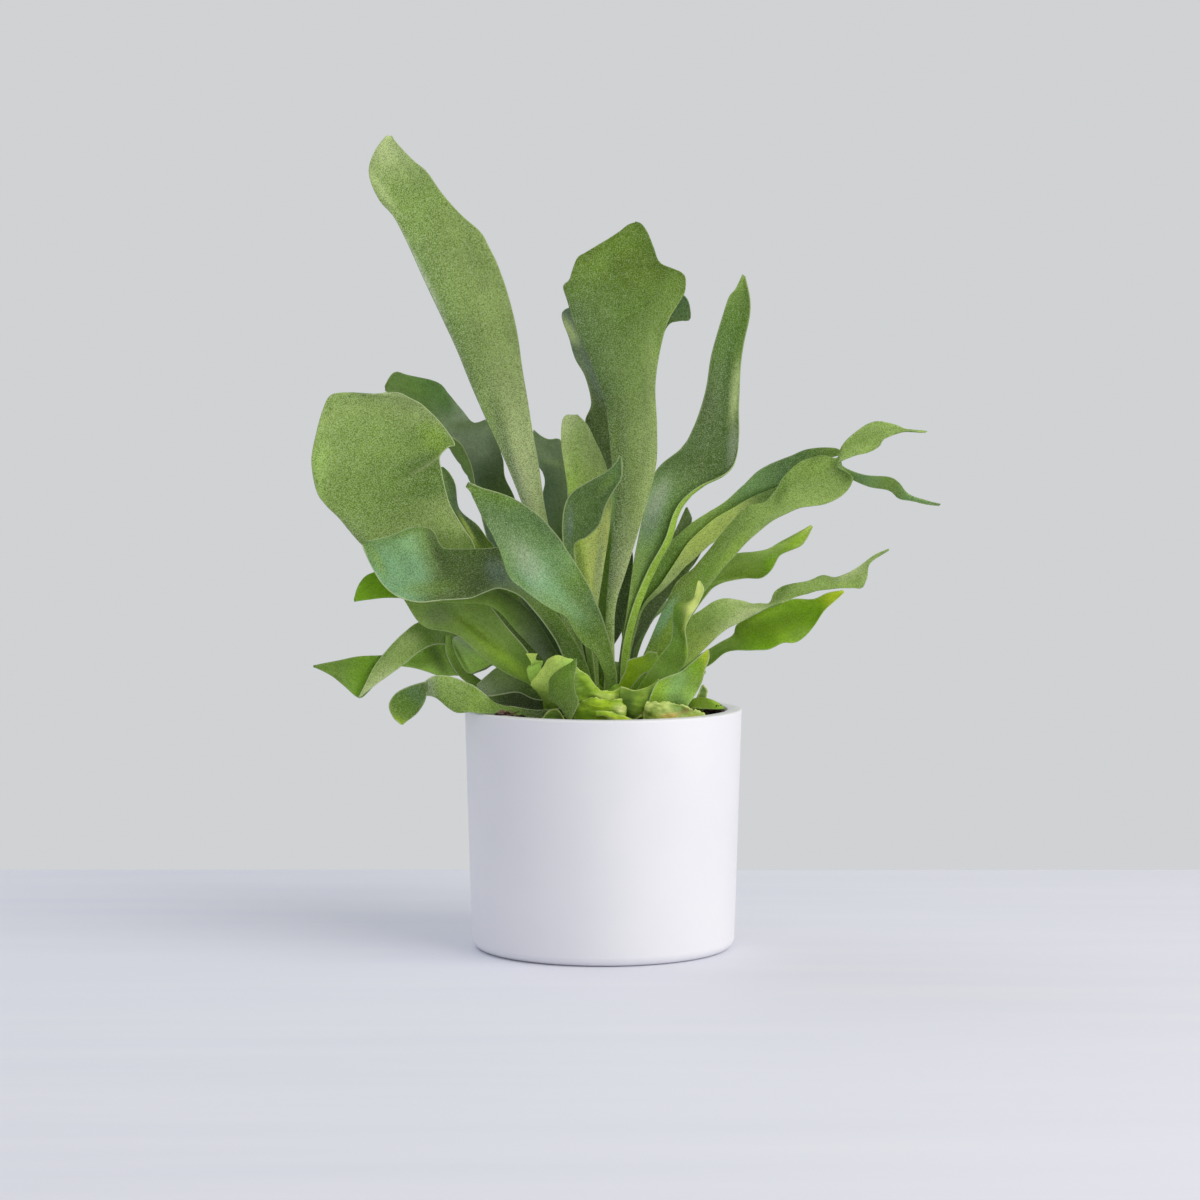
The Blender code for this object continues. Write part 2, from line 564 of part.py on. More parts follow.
def turned(name, profile, segments, finish):
    """A solid turned round the Z axis from a closed profile of (radius, z)."""
    mesh = bpy.data.meshes.new(name)
    points = [(r * MM, 0, z * MM) for r, z in profile]
    mesh.from_pydata(points, [(i, i + 1) for i in range(len(points) - 1)], [])
    obj = bpy.data.objects.new(name, mesh)
    bpy.context.scene.collection.objects.link(obj)
    mesh.materials.append(finish)
    spin = obj.modifiers.new("turn", "SCREW")
    spin.steps = spin.render_steps = segments
    spin.use_merge_vertices = True
    spin.merge_threshold = 0.00001
    spin.use_smooth_shade = True
    apply_modifiers(obj)
    obj.data.shade_smooth()
    obj.data.set_sharp_from_angle(angle=SHARP_EDGE)
    return obj


def arc(centre_r, centre_z, radius, start, end, count):
    """Points on an arc in the (radius, z) plane, angles in degrees."""
    angles = np.radians(np.linspace(start, end, count))
    return [(centre_r + radius * math.cos(a), centre_z + radius * math.sin(a)) for a in angles]


def make_pot():
    top, foot = POT_WIDTH / 2, POT_FOOT_WIDTH / 2
    inside_top, inside_foot = top - POT_WALL, foot - POT_WALL
    profile = [(0, POT_FLOOR)]
    profile += arc(inside_foot - POT_CORNER, POT_FLOOR + POT_CORNER, POT_CORNER, -90, 0, 3)
    profile += arc(inside_top + RIM_ROUND, POT_HEIGHT - RIM_ROUND, RIM_ROUND, 180, 90, 2)
    profile += arc(top - RIM_ROUND, POT_HEIGHT - RIM_ROUND, RIM_ROUND, 90, 0, 2)
    profile += arc(foot - POT_CORNER, POT_CORNER, POT_CORNER, 0, -90, 5)
    profile += [(0, 0)]
    return turned("pot", profile, POT_SEGMENTS, material("pot", 0.5))


def pot_inside(z):
    """The radius of the pot's inner wall at a height."""
    low, high = POT_FLOOR + POT_CORNER, POT_HEIGHT - RIM_ROUND
    share = (z - low) / (high - low)
    return (POT_FOOT_WIDTH + share * (POT_WIDTH - POT_FOOT_WIDTH)) / 2 - POT_WALL


def disc_solid(name, rings, segments, finish):
    """A solid from rings of points, listed from the middle of its underside outwards, up and back to
    the middle of its top. The first and the last ring are single points."""
    points, starts = [], []
    for ring in rings:
        starts.append(len(points))
        points += ring
    faces = []
    for low, high, lower, upper in zip(starts, starts[1:], rings, rings[1:]):
        for k in range(segments):
            n = (k + 1) % segments
            if len(lower) == 1:
                faces.append((low, high + n, high + k))
            elif len(upper) == 1:
                faces.append((low + k, low + n, high))
            else:
                faces += [(low + k, low + n, high + n), (low + k, high + n, high + k)]
    return new_object(name, points, faces, finish)


def ring_of(radius, height, segments, middle=(0, 0)):
    """One ring of points. radius may be a function of the angle, and height one of the place."""
    made = []
    for k in range(segments):
        a = math.tau * k / segments
        r = radius(a) if callable(radius) else radius
        point = Vector((middle[0] + r * math.cos(a), middle[1] + r * math.sin(a), 0))
        point.z = height(point) if callable(height) else height
        made.append(tuple(point))
    return made


def soil_height(point):
    """The lumpy top of the potting mix."""
    return SOIL_TOP + SOIL_LUMP * noise.noise(Vector((*point.xy, 0)) / SOIL_LUMP_SIZE)


def crown_radius(share, angle):
    """The crown's lumpy outline: share runs from 0 at its widest to 1 at its top."""
    lobes = 1 + 0.07 * math.cos(3 * angle + 0.6) + 0.04 * math.cos(7 * angle)
    return CROWN_WIDTH / 2 * lobes * (1 - share**1.6) ** 0.6


def make_crown(finish):
    """The rhizome under its old shield fronds: a lumpy dome on a neck that stands in the soil."""
    neck = CROWN_WIDTH / 2 * CROWN_NECK
    waist = SOIL_TOP + SOIL_LUMP
    rings = [[(*CROWN_MIDDLE, CROWN_BOTTOM)]]
    rings.append(ring_of(neck, CROWN_BOTTOM, CROWN_SEGMENTS, CROWN_MIDDLE))
    rings.append(ring_of(neck, waist, CROWN_SEGMENTS, CROWN_MIDDLE))
    for i in range(CROWN_RINGS):
        share = i / CROWN_RINGS
        level = waist + CROWN_WAIST + (CROWN_TOP - waist) * share

        def radius(angle):
            return crown_radius(share, angle)

        def height(point):
            lump = noise.noise(Vector((*point.xy, level)) / CROWN_LUMP_SIZE)
            return level + CROWN_LUMP * min(1, 3 * share) * lump

        rings.append(ring_of(radius, height, CROWN_SEGMENTS, CROWN_MIDDLE))
    rings.append([(*CROWN_MIDDLE, CROWN_TOP)])
    return disc_solid("crown", rings, CROWN_SEGMENTS, finish)


def make_soil(finish):
    """The potting mix: it fills the pot, with a round hole that the crown's neck stands in."""
    bottom = POT_FLOOR + CLEARANCE
    corner = bottom + POT_CORNER
    hole = CROWN_WIDTH / 2 * CROWN_NECK + CLEARANCE
    edge = pot_inside(SOIL_TOP) - SOIL_EDGE
    rings = [[(0, 0, bottom)]]
    rings.append(ring_of(pot_inside(corner) - POT_CORNER - CLEARANCE, bottom, SOIL_SEGMENTS))
    rings.append(ring_of(pot_inside(corner) - CLEARANCE, corner, SOIL_SEGMENTS))
    for i in range(SOIL_RINGS):
        share = i / (SOIL_RINGS - 1)
        middle = [share * along for along in CROWN_MIDDLE]
        rings.append(ring_of(edge + (hole - edge) * share, soil_height, SOIL_SEGMENTS, middle))
    floor = CROWN_BOTTOM - CLEARANCE
    rings.append(ring_of(hole, floor, SOIL_SEGMENTS, CROWN_MIDDLE))
    rings.append([(*CROWN_MIDDLE, floor)])
    return disc_solid("soil", rings, SOIL_SEGMENTS, finish)


def cut_slots(holder, names, share):
    """Cuts the plain slots that these fronds stand in, a little larger than the fronds, which each
    reach over this share of the frond's length."""
    slots = []
    fronds = all_fronds()
    for name in names:
        slots.append(blade_solid(name + "_slot", fronds[name], BLADE + 2 * SLOT_CLEARANCE, None,
                                 SLOT_CLEARANCE, share))
    cut_or_join(holder, slots, "DIFFERENCE", "MANIFOLD")


def main():
    remove_everything()
    make_pot()
    make_fronds()
    soil = make_soil(material("soil", 0.95))
    cut_slots(soil, SOIL_FRONDS, SOIL_SLOT_REACH)
    crown = make_crown(material("crown", 0.6))
    cut_slots(crown, [name for name in all_fronds() if name not in SOIL_FRONDS], CROWN_SLOT_REACH)


main()
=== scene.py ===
# %% [markdown]
# # A potted staghorn fern
#
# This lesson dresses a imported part, a young staghorn fern in a white ceramic pot, with the shapes and
# finishes of the real plant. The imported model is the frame: it says where the pot, the potting mix,
# the crown and each frond are. Each step first says what the piece is on the real plant, then how it
# could be made, and why this way was chosen. All lengths are in millimetres until a mesh is made.

import math

import bmesh
import bpy
import numpy as np
from mathutils import Euler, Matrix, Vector, noise


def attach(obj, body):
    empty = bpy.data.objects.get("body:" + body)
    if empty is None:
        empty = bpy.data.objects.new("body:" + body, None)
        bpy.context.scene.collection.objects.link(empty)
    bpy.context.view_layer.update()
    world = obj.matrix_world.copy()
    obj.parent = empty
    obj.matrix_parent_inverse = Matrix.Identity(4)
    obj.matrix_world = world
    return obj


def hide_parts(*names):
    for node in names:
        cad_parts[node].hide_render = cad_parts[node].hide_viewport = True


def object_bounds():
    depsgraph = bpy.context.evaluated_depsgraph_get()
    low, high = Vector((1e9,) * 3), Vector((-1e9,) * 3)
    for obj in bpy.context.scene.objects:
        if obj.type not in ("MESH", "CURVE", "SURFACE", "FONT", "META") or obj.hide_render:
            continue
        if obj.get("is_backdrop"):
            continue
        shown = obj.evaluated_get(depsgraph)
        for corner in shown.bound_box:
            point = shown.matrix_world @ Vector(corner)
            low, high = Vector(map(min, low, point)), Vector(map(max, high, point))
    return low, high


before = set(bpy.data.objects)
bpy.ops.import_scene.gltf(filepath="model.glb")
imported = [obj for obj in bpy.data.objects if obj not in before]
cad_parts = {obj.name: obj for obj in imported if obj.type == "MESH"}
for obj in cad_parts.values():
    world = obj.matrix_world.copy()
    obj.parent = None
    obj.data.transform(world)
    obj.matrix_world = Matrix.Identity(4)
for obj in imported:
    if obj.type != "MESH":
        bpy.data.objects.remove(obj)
cad_low, cad_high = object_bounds()
scene = bpy.context.scene
MM = 0.001
print("nodes", len(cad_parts), "box in mm", [round((b - a) / MM) for a, b in zip(cad_low, cad_high)])

# %% [markdown]
# ## Camera
#
# The photograph was taken with a long lens from a little above the plant's middle. The pot's rim
# and foot are two circles of known size, and how open their ellipses look gives the eye's height
# (258 mm) and distance (1532 mm). The lens follows from the pot's width in the picture: 91.8 mm on
# a 36 mm sensor. The pot stands 1.65 mm right of the middle, so the eye moves left by that.

# %% Camera
def show(name, data):
    """An object for a mesh, a lamp or a camera, in the scene."""
    made = bpy.data.objects.new(name, data)
    scene.collection.objects.link(made)
    return made


EYE = Vector((-1.65, -1532.0, 258.3))
LOOKS_DOWN = 3.136
LENS = 91.8
SENSOR = 36

camera = show("camera", bpy.data.cameras.new("camera"))
camera.data.lens = LENS
camera.data.sensor_width = SENSOR
camera.data.clip_start = 0.05
camera.location = EYE * MM
camera.rotation_euler = (math.radians(90 - LOOKS_DOWN), 0, 0)
scene.camera = camera
print("camera", tuple(round(c, 3) for c in camera.location))

# %% [markdown]
# ## Colours
#
# Colours are read off the real thing as sRGB hex values, the way a paint chart gives them. Shaders
# want linear light, so one function turns them. The greens get names, because a staghorn's fronds
# differ more by age and by the felt on them than by kind: young ones are vivid, old ones are grey
# with felt, and the sides that face the sky look blue-green, partly their own waxy bloom and partly
# painted sheen of the sky. Many of the greens also stand for light and shade: paler ones paint
# highlights and light shining through, darker ones paint shade.

# %% Colours
def linear(code):
    """A linear RGBA colour from an sRGB hex code."""
    parts = [int(code[i:i + 2], 16) / 255 for i in (1, 3, 5)]
    return [c / 12.92 if c <= 0.04045 else ((c + 0.055) / 1.055) ** 2.4 for c in parts] + [1.0]


GREENS = {
    # young tissue, bright and yellow; dew also paints light shining through a thin leaf
    "vivid": "#6E960E", "lime": "#8CAC36", "yellow": "#BCC936", "crown": "#A3C02E", "moss": "#8FA91C",
    "dew": "#A9CB7C", "pale": "#BCCB80", "cream": "#F0F2BC",
    # plain leaf, from light to dark
    "grass": "#829F4C", "basil": "#6E8943", "leaf": "#648130", "bay": "#55741F", "olive": "#5C7412",
    "ivy": "#42620F", "pine": "#466033", "shade": "#4C6030", "deep": "#3C4C2A",
    # pale with felt; tip, stalk and felt also paint highlights
    "tip": "#BFC9B2", "stalk": "#A3B487", "felt": "#90A86C", "wool": "#7E9856", "plush": "#76944A",
    # teal to grey: their own bloom and felt, and painted sheen of the sky on faces turned up
    "sky": "#78A49C", "mist": "#8FB8A6", "sea": "#67895F", "kelp": "#52704A", "blue": "#56703F",
    "dusk": "#6F8463", "silver": "#A6AEC4", "sage": "#8C979C", "grey": "#6C757A", "slate": "#5F6E80",
    # dry
    "husk": "#C99A5E", "bark": "#7A5A36",
}
print(len(GREENS), "greens")

# %% [markdown]
# ## Light, floor and backdrop
#
# The plant stands on white-painted boards in soft daylight: broad light from the right and a little
# in front, and soft light from everywhere else. A plain world colour gives the second, one big area
# light the first, and a second weak one behind the left shoulder puts the cool sheen on the fronds
# that face up. The backdrop is the colour that the camera sees behind everything, which needs no
# object, so nothing stands in the way when the camera goes round.
#
# Every material here is a tree of nodes, and so is every rule that repeats a shape, so one small
# function adds a node with its settings and links.

# %% Light and stage
def add(tree, kind, inputs=None, take=0, **settings):
    """Adds a node with its settings and gives back one of its outputs, by name or number. inputs
    gives values, sockets to link from, or lists of sockets, also by name or number."""
    made = tree.nodes.new(kind)
    for key, value in settings.items():
        setattr(made, key, value)
    for key, value in (inputs or {}).items():
        sources = value if isinstance(value, list) else [value]
        if isinstance(sources[0], bpy.types.NodeSocket):
            for source in sources:
                tree.links.new(source, made.inputs[key])
        else:
            made.inputs[key].default_value = value
    return made.outputs[take] if len(made.outputs) else None


MIX = {"take": 2, "data_type": "RGBA"}  # a Mix node's colour comes out of output 2
MULTIPLY = {**MIX, "blend_type": "MULTIPLY"}


def softbox(name, place, size, power, colour):
    """A square area light that faces the middle of the plant."""
    lamp = show(name, bpy.data.lights.new(name, "AREA"))
    lamp.data.size = size
    lamp.data.energy = power
    lamp.data.color = linear(colour)[:3]
    lamp.location = place
    lamp.rotation_euler = (Vector((0, 0, 0.2)) - lamp.location).to_track_quat("-Z", "Y").to_euler()


BACKDROP = "#D0D2D4"
FILL = "#F3F4F5"
FILL_LIGHT = 0.575
BOARDS_END = 266.0
BOARDS_SIDE = 3000.0

softbox("daylight_right", (1.15, -0.75, 1.05), 1.5, 17.9, "#FFFBF3")
softbox("sky_left", (-0.75, 0.55, 1.25), 0.8, 4.0, "#EAF1FF")

world = bpy.data.worlds.new("daylight")
scene.world = world
world.use_nodes = True
tree = world.node_tree
tree.nodes.clear()
fill = add(tree, "ShaderNodeBackground", {"Color": linear(FILL), "Strength": FILL_LIGHT})
backdrop = add(tree, "ShaderNodeBackground", {"Color": linear(BACKDROP), "Strength": 1.0})
in_view = add(tree, "ShaderNodeLightPath", take="Is Camera Ray")
both = add(tree, "ShaderNodeMixShader", {0: in_view, 1: fill, 2: backdrop})
add(tree, "ShaderNodeOutputWorld", {"Surface": both})
scene.view_settings.view_transform = "Standard"


def finish_material(name, build):
    """A material made of nodes. build gets the tree and returns the shader's output socket."""
    made = bpy.data.materials.new(name)
    made.use_nodes = True
    made.node_tree.nodes.clear()
    add(made.node_tree, "ShaderNodeOutputMaterial", {"Surface": build(made.node_tree)})
    return made


def painted_boards(tree):
    """White paint on boards, wiped thin: faint long streaks and a satin gloss."""
    where = add(tree, "ShaderNodeTexCoord", take="Object")
    long = add(tree, "ShaderNodeMapping", {"Vector": where, "Scale": (1.2, 14, 1)})
    streak = add(tree, "ShaderNodeTexNoise", {"Vector": long, "Scale": 2.2, "Detail": 3.0})
    paint = add(tree, "ShaderNodeMix", {0: streak, 6: linear("#DFE1ED"), 7: linear("#E9EAF2")}, **MIX)
    return add(tree, "ShaderNodeBsdfPrincipled", {"Base Color": paint, "Roughness": 0.62})


def plain_object(name, points, faces, edges=()):
    """A mesh object from points in millimetres."""
    mesh = bpy.data.meshes.new(name)
    mesh.from_pydata((np.asarray(points, float) * MM).tolist(), list(edges), faces)
    return show(name, mesh)


side, end = BOARDS_SIDE, BOARDS_END
corners = [(-side, -side, 0), (side, -side, 0), (side, end, 0), (-side, end, 0)]
floor = plain_object("floor", corners, [(0, 1, 2, 3)])
floor.data.materials.append(finish_material("Painted boards", painted_boards))
floor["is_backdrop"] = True
print("stage: boards to", BOARDS_END, "mm behind the pot")

# %% [markdown]
# ## How a blade is shaped
#
# A frond is a leathery blade on a stalk. Its outline is free, with lobes and waves that differ from
# frond to frond, so it is drawn as two margins, left and right, as they look from in front. A third
# row of numbers says how far back its midline lies, and a fourth how much further back the right
# margin lies than the left one. Each point is then pushed along its line of sight to its depth.
#
# It could be made with curves and a loft, but the margins carry the likeness, so the blade is built
# row by row between them. Across each row it is dished, and its margins wave, the way a frond's
# margins grow longer than its middle. Where a margin is turned over, the row goes on past the fold
# and comes back in front of itself or behind.
#
# The drawing gives few points, so a cubic curve is laid through them and walked in even steps.

# %% Smooth rows of numbers
EYE_DISTANCE = 1532.0
EYE_HEIGHT = 258.0
POINTS_BETWEEN = 12  # steps of the curve for each point that was drawn


def smooth(values, share):
    """The value at a share of the way along a list of evenly spaced ones, by a cubic through them."""
    values = np.asarray(values, float)
    at = share * (len(values) - 1)
    i = min(int(at), len(values) - 2)
    before, after = values[max(i - 1, 0)], values[min(i + 2, len(values) - 1)]
    start, end, t = values[i], values[i + 1], at - i
    out, into = (end - before) / 2, (after - start) / 2
    return (
        start * (2 * t**3 - 3 * t**2 + 1) + out * (t**3 - 2 * t**2 + t)
        + end * (3 * t**2 - 2 * t**3) + into * (t**3 - t**2)
    )


def even_path(points, count):
    """count points at even distances along a smooth curve through these points."""
    dense = np.array([smooth(points, share) for share in np.linspace(0, 1, POINTS_BETWEEN * len(points))])
    steps = np.linalg.norm(np.diff(dense, axis=0), axis=1)
    along = np.concatenate([[0], np.cumsum(steps)])
    wanted = np.linspace(0, along[-1], count)
    return np.stack([np.interp(wanted, along, dense[:, k]) for k in range(dense.shape[1])], axis=1)


def length_of(points):
    """The length of a row of points."""
    return float(np.linalg.norm(np.diff(np.asarray(points, float), axis=0), axis=1).sum())


def placed(x, z, depth):
    """The point that looks to be at (x, z) from in front and lies at this depth."""
    further = 1 + depth / EYE_DISTANCE
    return Vector((x * further, depth, EYE_HEIGHT + (z - EYE_HEIGHT) * further))


def seen(points):
    """Where points look to be from in front: the other way round of placed()."""
    further = 1 + points[..., 1] / EYE_DISTANCE
    return points[..., 0] / further, EYE_HEIGHT + (points[..., 2] - EYE_HEIGHT) / further


def margins(frond, count):
    """The left and right margins in space, count points each."""
    sides = []
    for side, sign in (("left", -0.5), ("right", 0.5)):
        path = even_path(frond[side], count)
        if path.shape[1] == 3:
            sides.append(path)
            continue
        points = []
        for i, (x, z) in enumerate(path):
            share = i / (count - 1)
            y = smooth(frond["depth"], share) + sign * smooth(frond["tilt"], share)
            points.append(placed(x, z, y))
        sides.append(np.array(points))
    return sides


print("a point drawn at (100, 300) and 40 deep stands at", [round(c, 1) for c in placed(100, 300, 40)])

# %% [markdown]
# A real blade also has dents, creases and patches of another green. Each is a mark: an oval with its
# middle, its long and wide radius in mm, its turn in degrees, how far it lifts the blade, and its
# green with how strong that is. Many marks' greens are painted light and shade: a paler green where a
# bulge or fold would catch the light is a painted highlight, and a darker one down a crease is painted
# shade. Others are patches of the leaf's own other green. The same ovals serve twice, here for the
# lift and later for the green, so that a crease's painted shade always lies where the crease is.

# %% The blade's middle surface
ROW_STEP = 1.7
LEAST_ROWS = 18
COLUMNS = 20
TIP_WIDTH = 1.0
FOLD_BEND = 0.9  # radius of a turned-over margin's fold
SMALL_WAVE = 0.30
SMALL_WAVES = 3.3
WAVE_LAG = 1.9  # how far the right margin's waves run ahead of the left one's, in radians
STIFF_SHARE = 0.16  # the stalk doesn't wave
FREE_OVER = 0.4  # and the waves grow over this share of the length
LEAST_FOLD = 0.05
WAVE_STARTS = 97  # each blade's small waves start at one of this many points, by its name


def mark_share(mark, points):
    """How strong a mark is at each point: 1 in its middle, fading to 0 past its edge."""
    x, z, long, wide, turn = mark[:5]
    dx, dz = (value - middle for value, middle in zip(seen(points), (x, z)))
    c, s = math.cos(math.radians(turn)), math.sin(math.radians(turn))
    far = ((dx * c + dz * s) / long) ** 2 + ((dz * c - dx * s) / wide) ** 2
    return np.exp(-(far**1.4))


def blade_surface(frond, count):
    """Rows of points from base to tip on the blade's middle surface, and each one's distance from
    the midline, from -1 at the left margin to 1 at the right one."""
    left, right = margins(frond, count)
    middle = (left + right) / 2
    along = np.gradient(middle, axis=0)
    across = right - left
    width = np.linalg.norm(across, axis=1, keepdims=True)
    side = across / np.maximum(width, 1e-6)
    narrow = width[:, 0] < TIP_WIDTH
    for i in np.nonzero(narrow)[0]:
        side[i] = side[i - 1] if i else side[i]
    width = np.maximum(width, TIP_WIDTH)
    facing = np.cross(side, along)
    facing /= np.linalg.norm(facing, axis=1, keepdims=True)
    share = np.linspace(0, 1, count)
    free = np.clip((share - STIFF_SHARE) / FREE_OVER, 0, 1)[:, None]
    fold = frond["fold"]
    turned = np.zeros(count)
    if fold:
        turned = np.array([max(0.0, smooth(fold["widths"], s)) for s in share])
    places = np.sin(np.linspace(-1, 1, COLUMNS + 1) * math.pi / 2)
    seed = sum(map(ord, frond["name"])) % WAVE_STARTS
    grid = np.empty((count, COLUMNS + 1, 3))
    for j, v in enumerate(places):
        phase = math.tau * frond["waves"] * share[:, None] + (WAVE_LAG if v > 0 else 0)
        wave = np.sin(phase) + SMALL_WAVE * v**4 * np.sin(SMALL_WAVES * phase + seed)
        rise = frond["ripple"] * wave * v * v * free - frond["hollow"] * width * (1 - v * v)
        run = (v + 1) / 2 * (width[:, 0] + turned)
        mirror = fold and fold["side"] == "left"
        if mirror:
            run = width[:, 0] + turned - run
        past = run - width[:, 0]
        bend = np.where(turned > LEAST_FOLD, FOLD_BEND * np.clip(turned, 0, 1), 1e-6)
        place = np.where(turned > LEAST_FOLD, width[:, 0] + bend - np.sqrt(past**2 + bend**2), run)
        lift = np.zeros(count)
        if fold:
            over = np.clip((past + 2 * bend) / (4 * bend), 0, 1)
            lift = fold["front"] * np.minimum(1, turned / 3) * over * over * (3 - 2 * over)
        offset = place - width[:, 0] / 2
        if mirror:
            offset = -offset
        grid[:, j] = middle + side * offset[:, None] + facing * (rise + lift[:, None])
    push = np.zeros(grid.shape[:2])
    for mark in frond["marks"]:
        push += mark[5] * mark_share(mark, grid)
    return grid + facing[:, None] * push[..., None], places, width[:, 0] + turned


print("a blade has a row every", ROW_STEP, "mm and", COLUMNS + 1, "points in each row")

# %% [markdown]
# ## From surface to leaf
#
# The blade is about a millimetre thick in the middle and thins to its margins, and it thickens to a
# stalk at its base. So each row becomes a closed ring, one face towards the viewer and one away,
# and the rings are joined end to end. The mesh carries what the finish needs to know: its colour,
# with painted light and shade in it as well as its own green, how much felt it has, how far each
# point is from the margin, and a flat map in millimetres, with the midline at u = 0, that the veins
# follow. What a blade doesn't say about itself is as USUAL says.

# %% Leaf mesh
THICK_MIDDLE = 1.15
THICK_MARGIN = 0.42
STALK_BONUS = 1.0
STALK_SHARE = 0.10
USUAL = {"hollow": 0.1, "ripple": 0.6, "waves": 1, "felt": 0.5, "rim": (0.12, 0.12), "thick": 1,
         "step": ROW_STEP, "marks": (), "fold": None, "blunt": False}
CREASES = (0.4, 1, 1.3)  # a crumpled blade's creases run across rather than up
FINE_CREASE, FINE_CREASES = 0.4, 2.6
TORN_EDGE, TORN_SIZE = 0.9, 0.7


def shades(stops, count):
    """Linear colours for each row at the left and the right margin. stops names greens from base to
    tip, such as "leaf pine/tip": one for both margins, or the left one's and the right one's."""
    pairs = [(stop.split("/") * 2)[:2] for stop in stops.split()]
    table = np.array([[linear(GREENS[n])[:3] for n in pair] for pair in pairs])
    where = np.linspace(0, len(pairs) - 1, count)
    low = np.minimum(where.astype(int), len(pairs) - 2)
    share = (where - low)[:, None, None]
    ease = share * share * (3 - 2 * share)
    return table[low] * (1 - ease) + table[low + 1] * ease


def outward(obj):
    """Turns all faces of a closed piece outwards."""
    shape = bmesh.new()
    shape.from_mesh(obj.data)
    bmesh.ops.recalc_face_normals(shape, faces=shape.faces)
    shape.to_mesh(obj.data)
    shape.free()
    return obj


def store(mesh, name, kind, values):
    """Keeps one value for each point of the mesh."""
    field = "color" if kind.endswith("COLOR") else "value"
    mesh.attributes.new(name, kind, "POINT").data.foreach_set(field, np.asarray(values, np.float32).ravel())


def leaf_mesh(name, frond):
    """A closed blade as a mesh object, with the attributes that its finish reads."""
    frond = {**USUAL, **frond, "name": name}
    count = max(LEAST_ROWS, round(length_of(frond["left"]) / frond["step"]) + 1)
    grid, places, width = blade_surface(frond, count)
    normals = np.cross(np.gradient(grid, axis=1), np.gradient(grid, axis=0))
    normals /= np.maximum(np.linalg.norm(normals, axis=2, keepdims=True), 1e-9)
    if "crumple" in frond:
        high, lump = frond["crumple"]
        folds = [Vector(p) / lump for p in grid.reshape(-1, 3) * CREASES]
        crease = [abs(noise.noise(p)) + FINE_CREASE * noise.noise(p * FINE_CREASES) for p in folds]
        grid = grid + normals * (high * np.array(crease).reshape(count, -1, 1))
        torn = [noise.noise(Vector(p) * TORN_SIZE) for p in grid.reshape(-1, 3)]
        grid[..., 2] += TORN_EDGE * high * np.array(torn).reshape(count, -1) * np.abs(places) ** 4
    share = np.linspace(0, 1, count)
    profile = THICK_MARGIN + (THICK_MIDDLE - THICK_MARGIN) * (1 - np.abs(places) ** 3)
    profile = profile * frond["thick"]
    stalk = STALK_BONUS * np.exp(-((share / STALK_SHARE) ** 2))
    half = (profile[None, :] + stalk[:, None] * (1 - places[None, :] ** 2)) / 2
    if not frond["blunt"]:
        half = half * np.minimum(1, (1 - share) * count / 3 + 0.35)[:, None]
    half = half[..., None]
    front, back = grid + normals * half, grid - normals * half
    rings = np.concatenate([front, back[:, ::-1]], axis=1)
    size = rings.shape[1]
    faces = []
    for i in range(count - 1):
        for k in range(size):
            n = (k + 1) % size
            faces.append((i * size + k, i * size + n, (i + 1) * size + n, (i + 1) * size + k))
    for start in (0, (count - 1) * size):
        for j in range(COLUMNS):
            faces.append((start + j, start + j + 1, start + size - 2 - j, start + size - 1 - j))
    made = outward(plain_object(name, rings.reshape(-1, 3), faces))
    mesh = made.data
    mesh.shade_smooth()

    both = np.concatenate([places, places[::-1]])
    edge = (1 - np.abs(both))[None, :] * width[:, None] / 2
    tone = np.empty((count, size, 3))
    mix = (both[None, :, None] + 1) / 2
    wide = COLUMNS + 1
    # the front and back greens hold painted light and shade as well as the frond's own colour
    for stops, part in ((frond["front"], slice(0, wide)), (frond["back"], slice(wide, size))):
        pair = shades(stops, count)
        tone[:, part] = pair[:, 0:1] * (1 - mix[:, part]) + pair[:, 1:2] * mix[:, part]
    # the marks paint highlights, and shade down creases, into the blade's colour
    for mark in frond["marks"]:
        strength = (mark[7] * mark_share(mark, grid))[..., None]
        tone[:, :wide] = tone[:, :wide] * (1 - strength) + strength * np.array(linear(GREENS[mark[6]])[:3])
    store(mesh, "edge", "FLOAT", edge)
    felt = np.atleast_1d(frond["felt"])
    felt = np.interp(share, np.linspace(0, 1, len(felt)), felt)
    store(mesh, "cover", "FLOAT", np.broadcast_to(felt[:, None], (count, size)))
    # the margin's pale line is partly its own edge and partly painted light, set stronger on the margin that
    # faces the light
    sides = frond["rim"]
    store(mesh, "rim", "FLOAT", np.broadcast_to(np.where(both < 0, sides[0], sides[1]), (count, size)))
    store(mesh, "leaf_colour", "FLOAT_COLOR", np.concatenate([tone, np.ones((count, size, 1))], axis=2))
    steps = np.linalg.norm(np.diff(grid[:, COLUMNS // 2], axis=0), axis=1)
    run = np.concatenate([[0], np.cumsum(steps)])
    flat = np.stack([both[None, :] * width[:, None] / 2, np.repeat(run[:, None], size, axis=1)], axis=2)
    corner = np.empty(len(mesh.loops), np.int32)
    mesh.loops.foreach_get("vertex_index", corner)
    layer = mesh.uv_layers.new(name="UVMap")
    layer.data.foreach_set("uv", (flat.reshape(-1, 2)[corner] * MM).astype(np.float32).ravel())
    return made


print("leaf thickness in mm: middle", THICK_MIDDLE, "margin", THICK_MARGIN)

# %% [markdown]
# ## The leaf's finish
#
# A staghorn's frond is a tough, matte leaf under a felt of tiny star-shaped hairs, which shows as a
# pale speckle and rubs off the older, glossier ones. Its veins fork again and again and run nearly
# lengthwise. Its margin is a thin pale line, partly its own and partly painted light where light comes
# through the thin edge, painted stronger on the margin that faces the light. A thin leaf also lets
# some light through from behind, so a little of the shader is translucent.
#
# The speckle reads Object coordinates, at about one star to a millimetre, twice as coarse as the real
# one, so that it shows. The veins read the flat map that the mesh carries, so they follow the blade
# round every bend. Most finishes here start from noise with lumps of a known size, so one helper
# sets that up in millimetres.

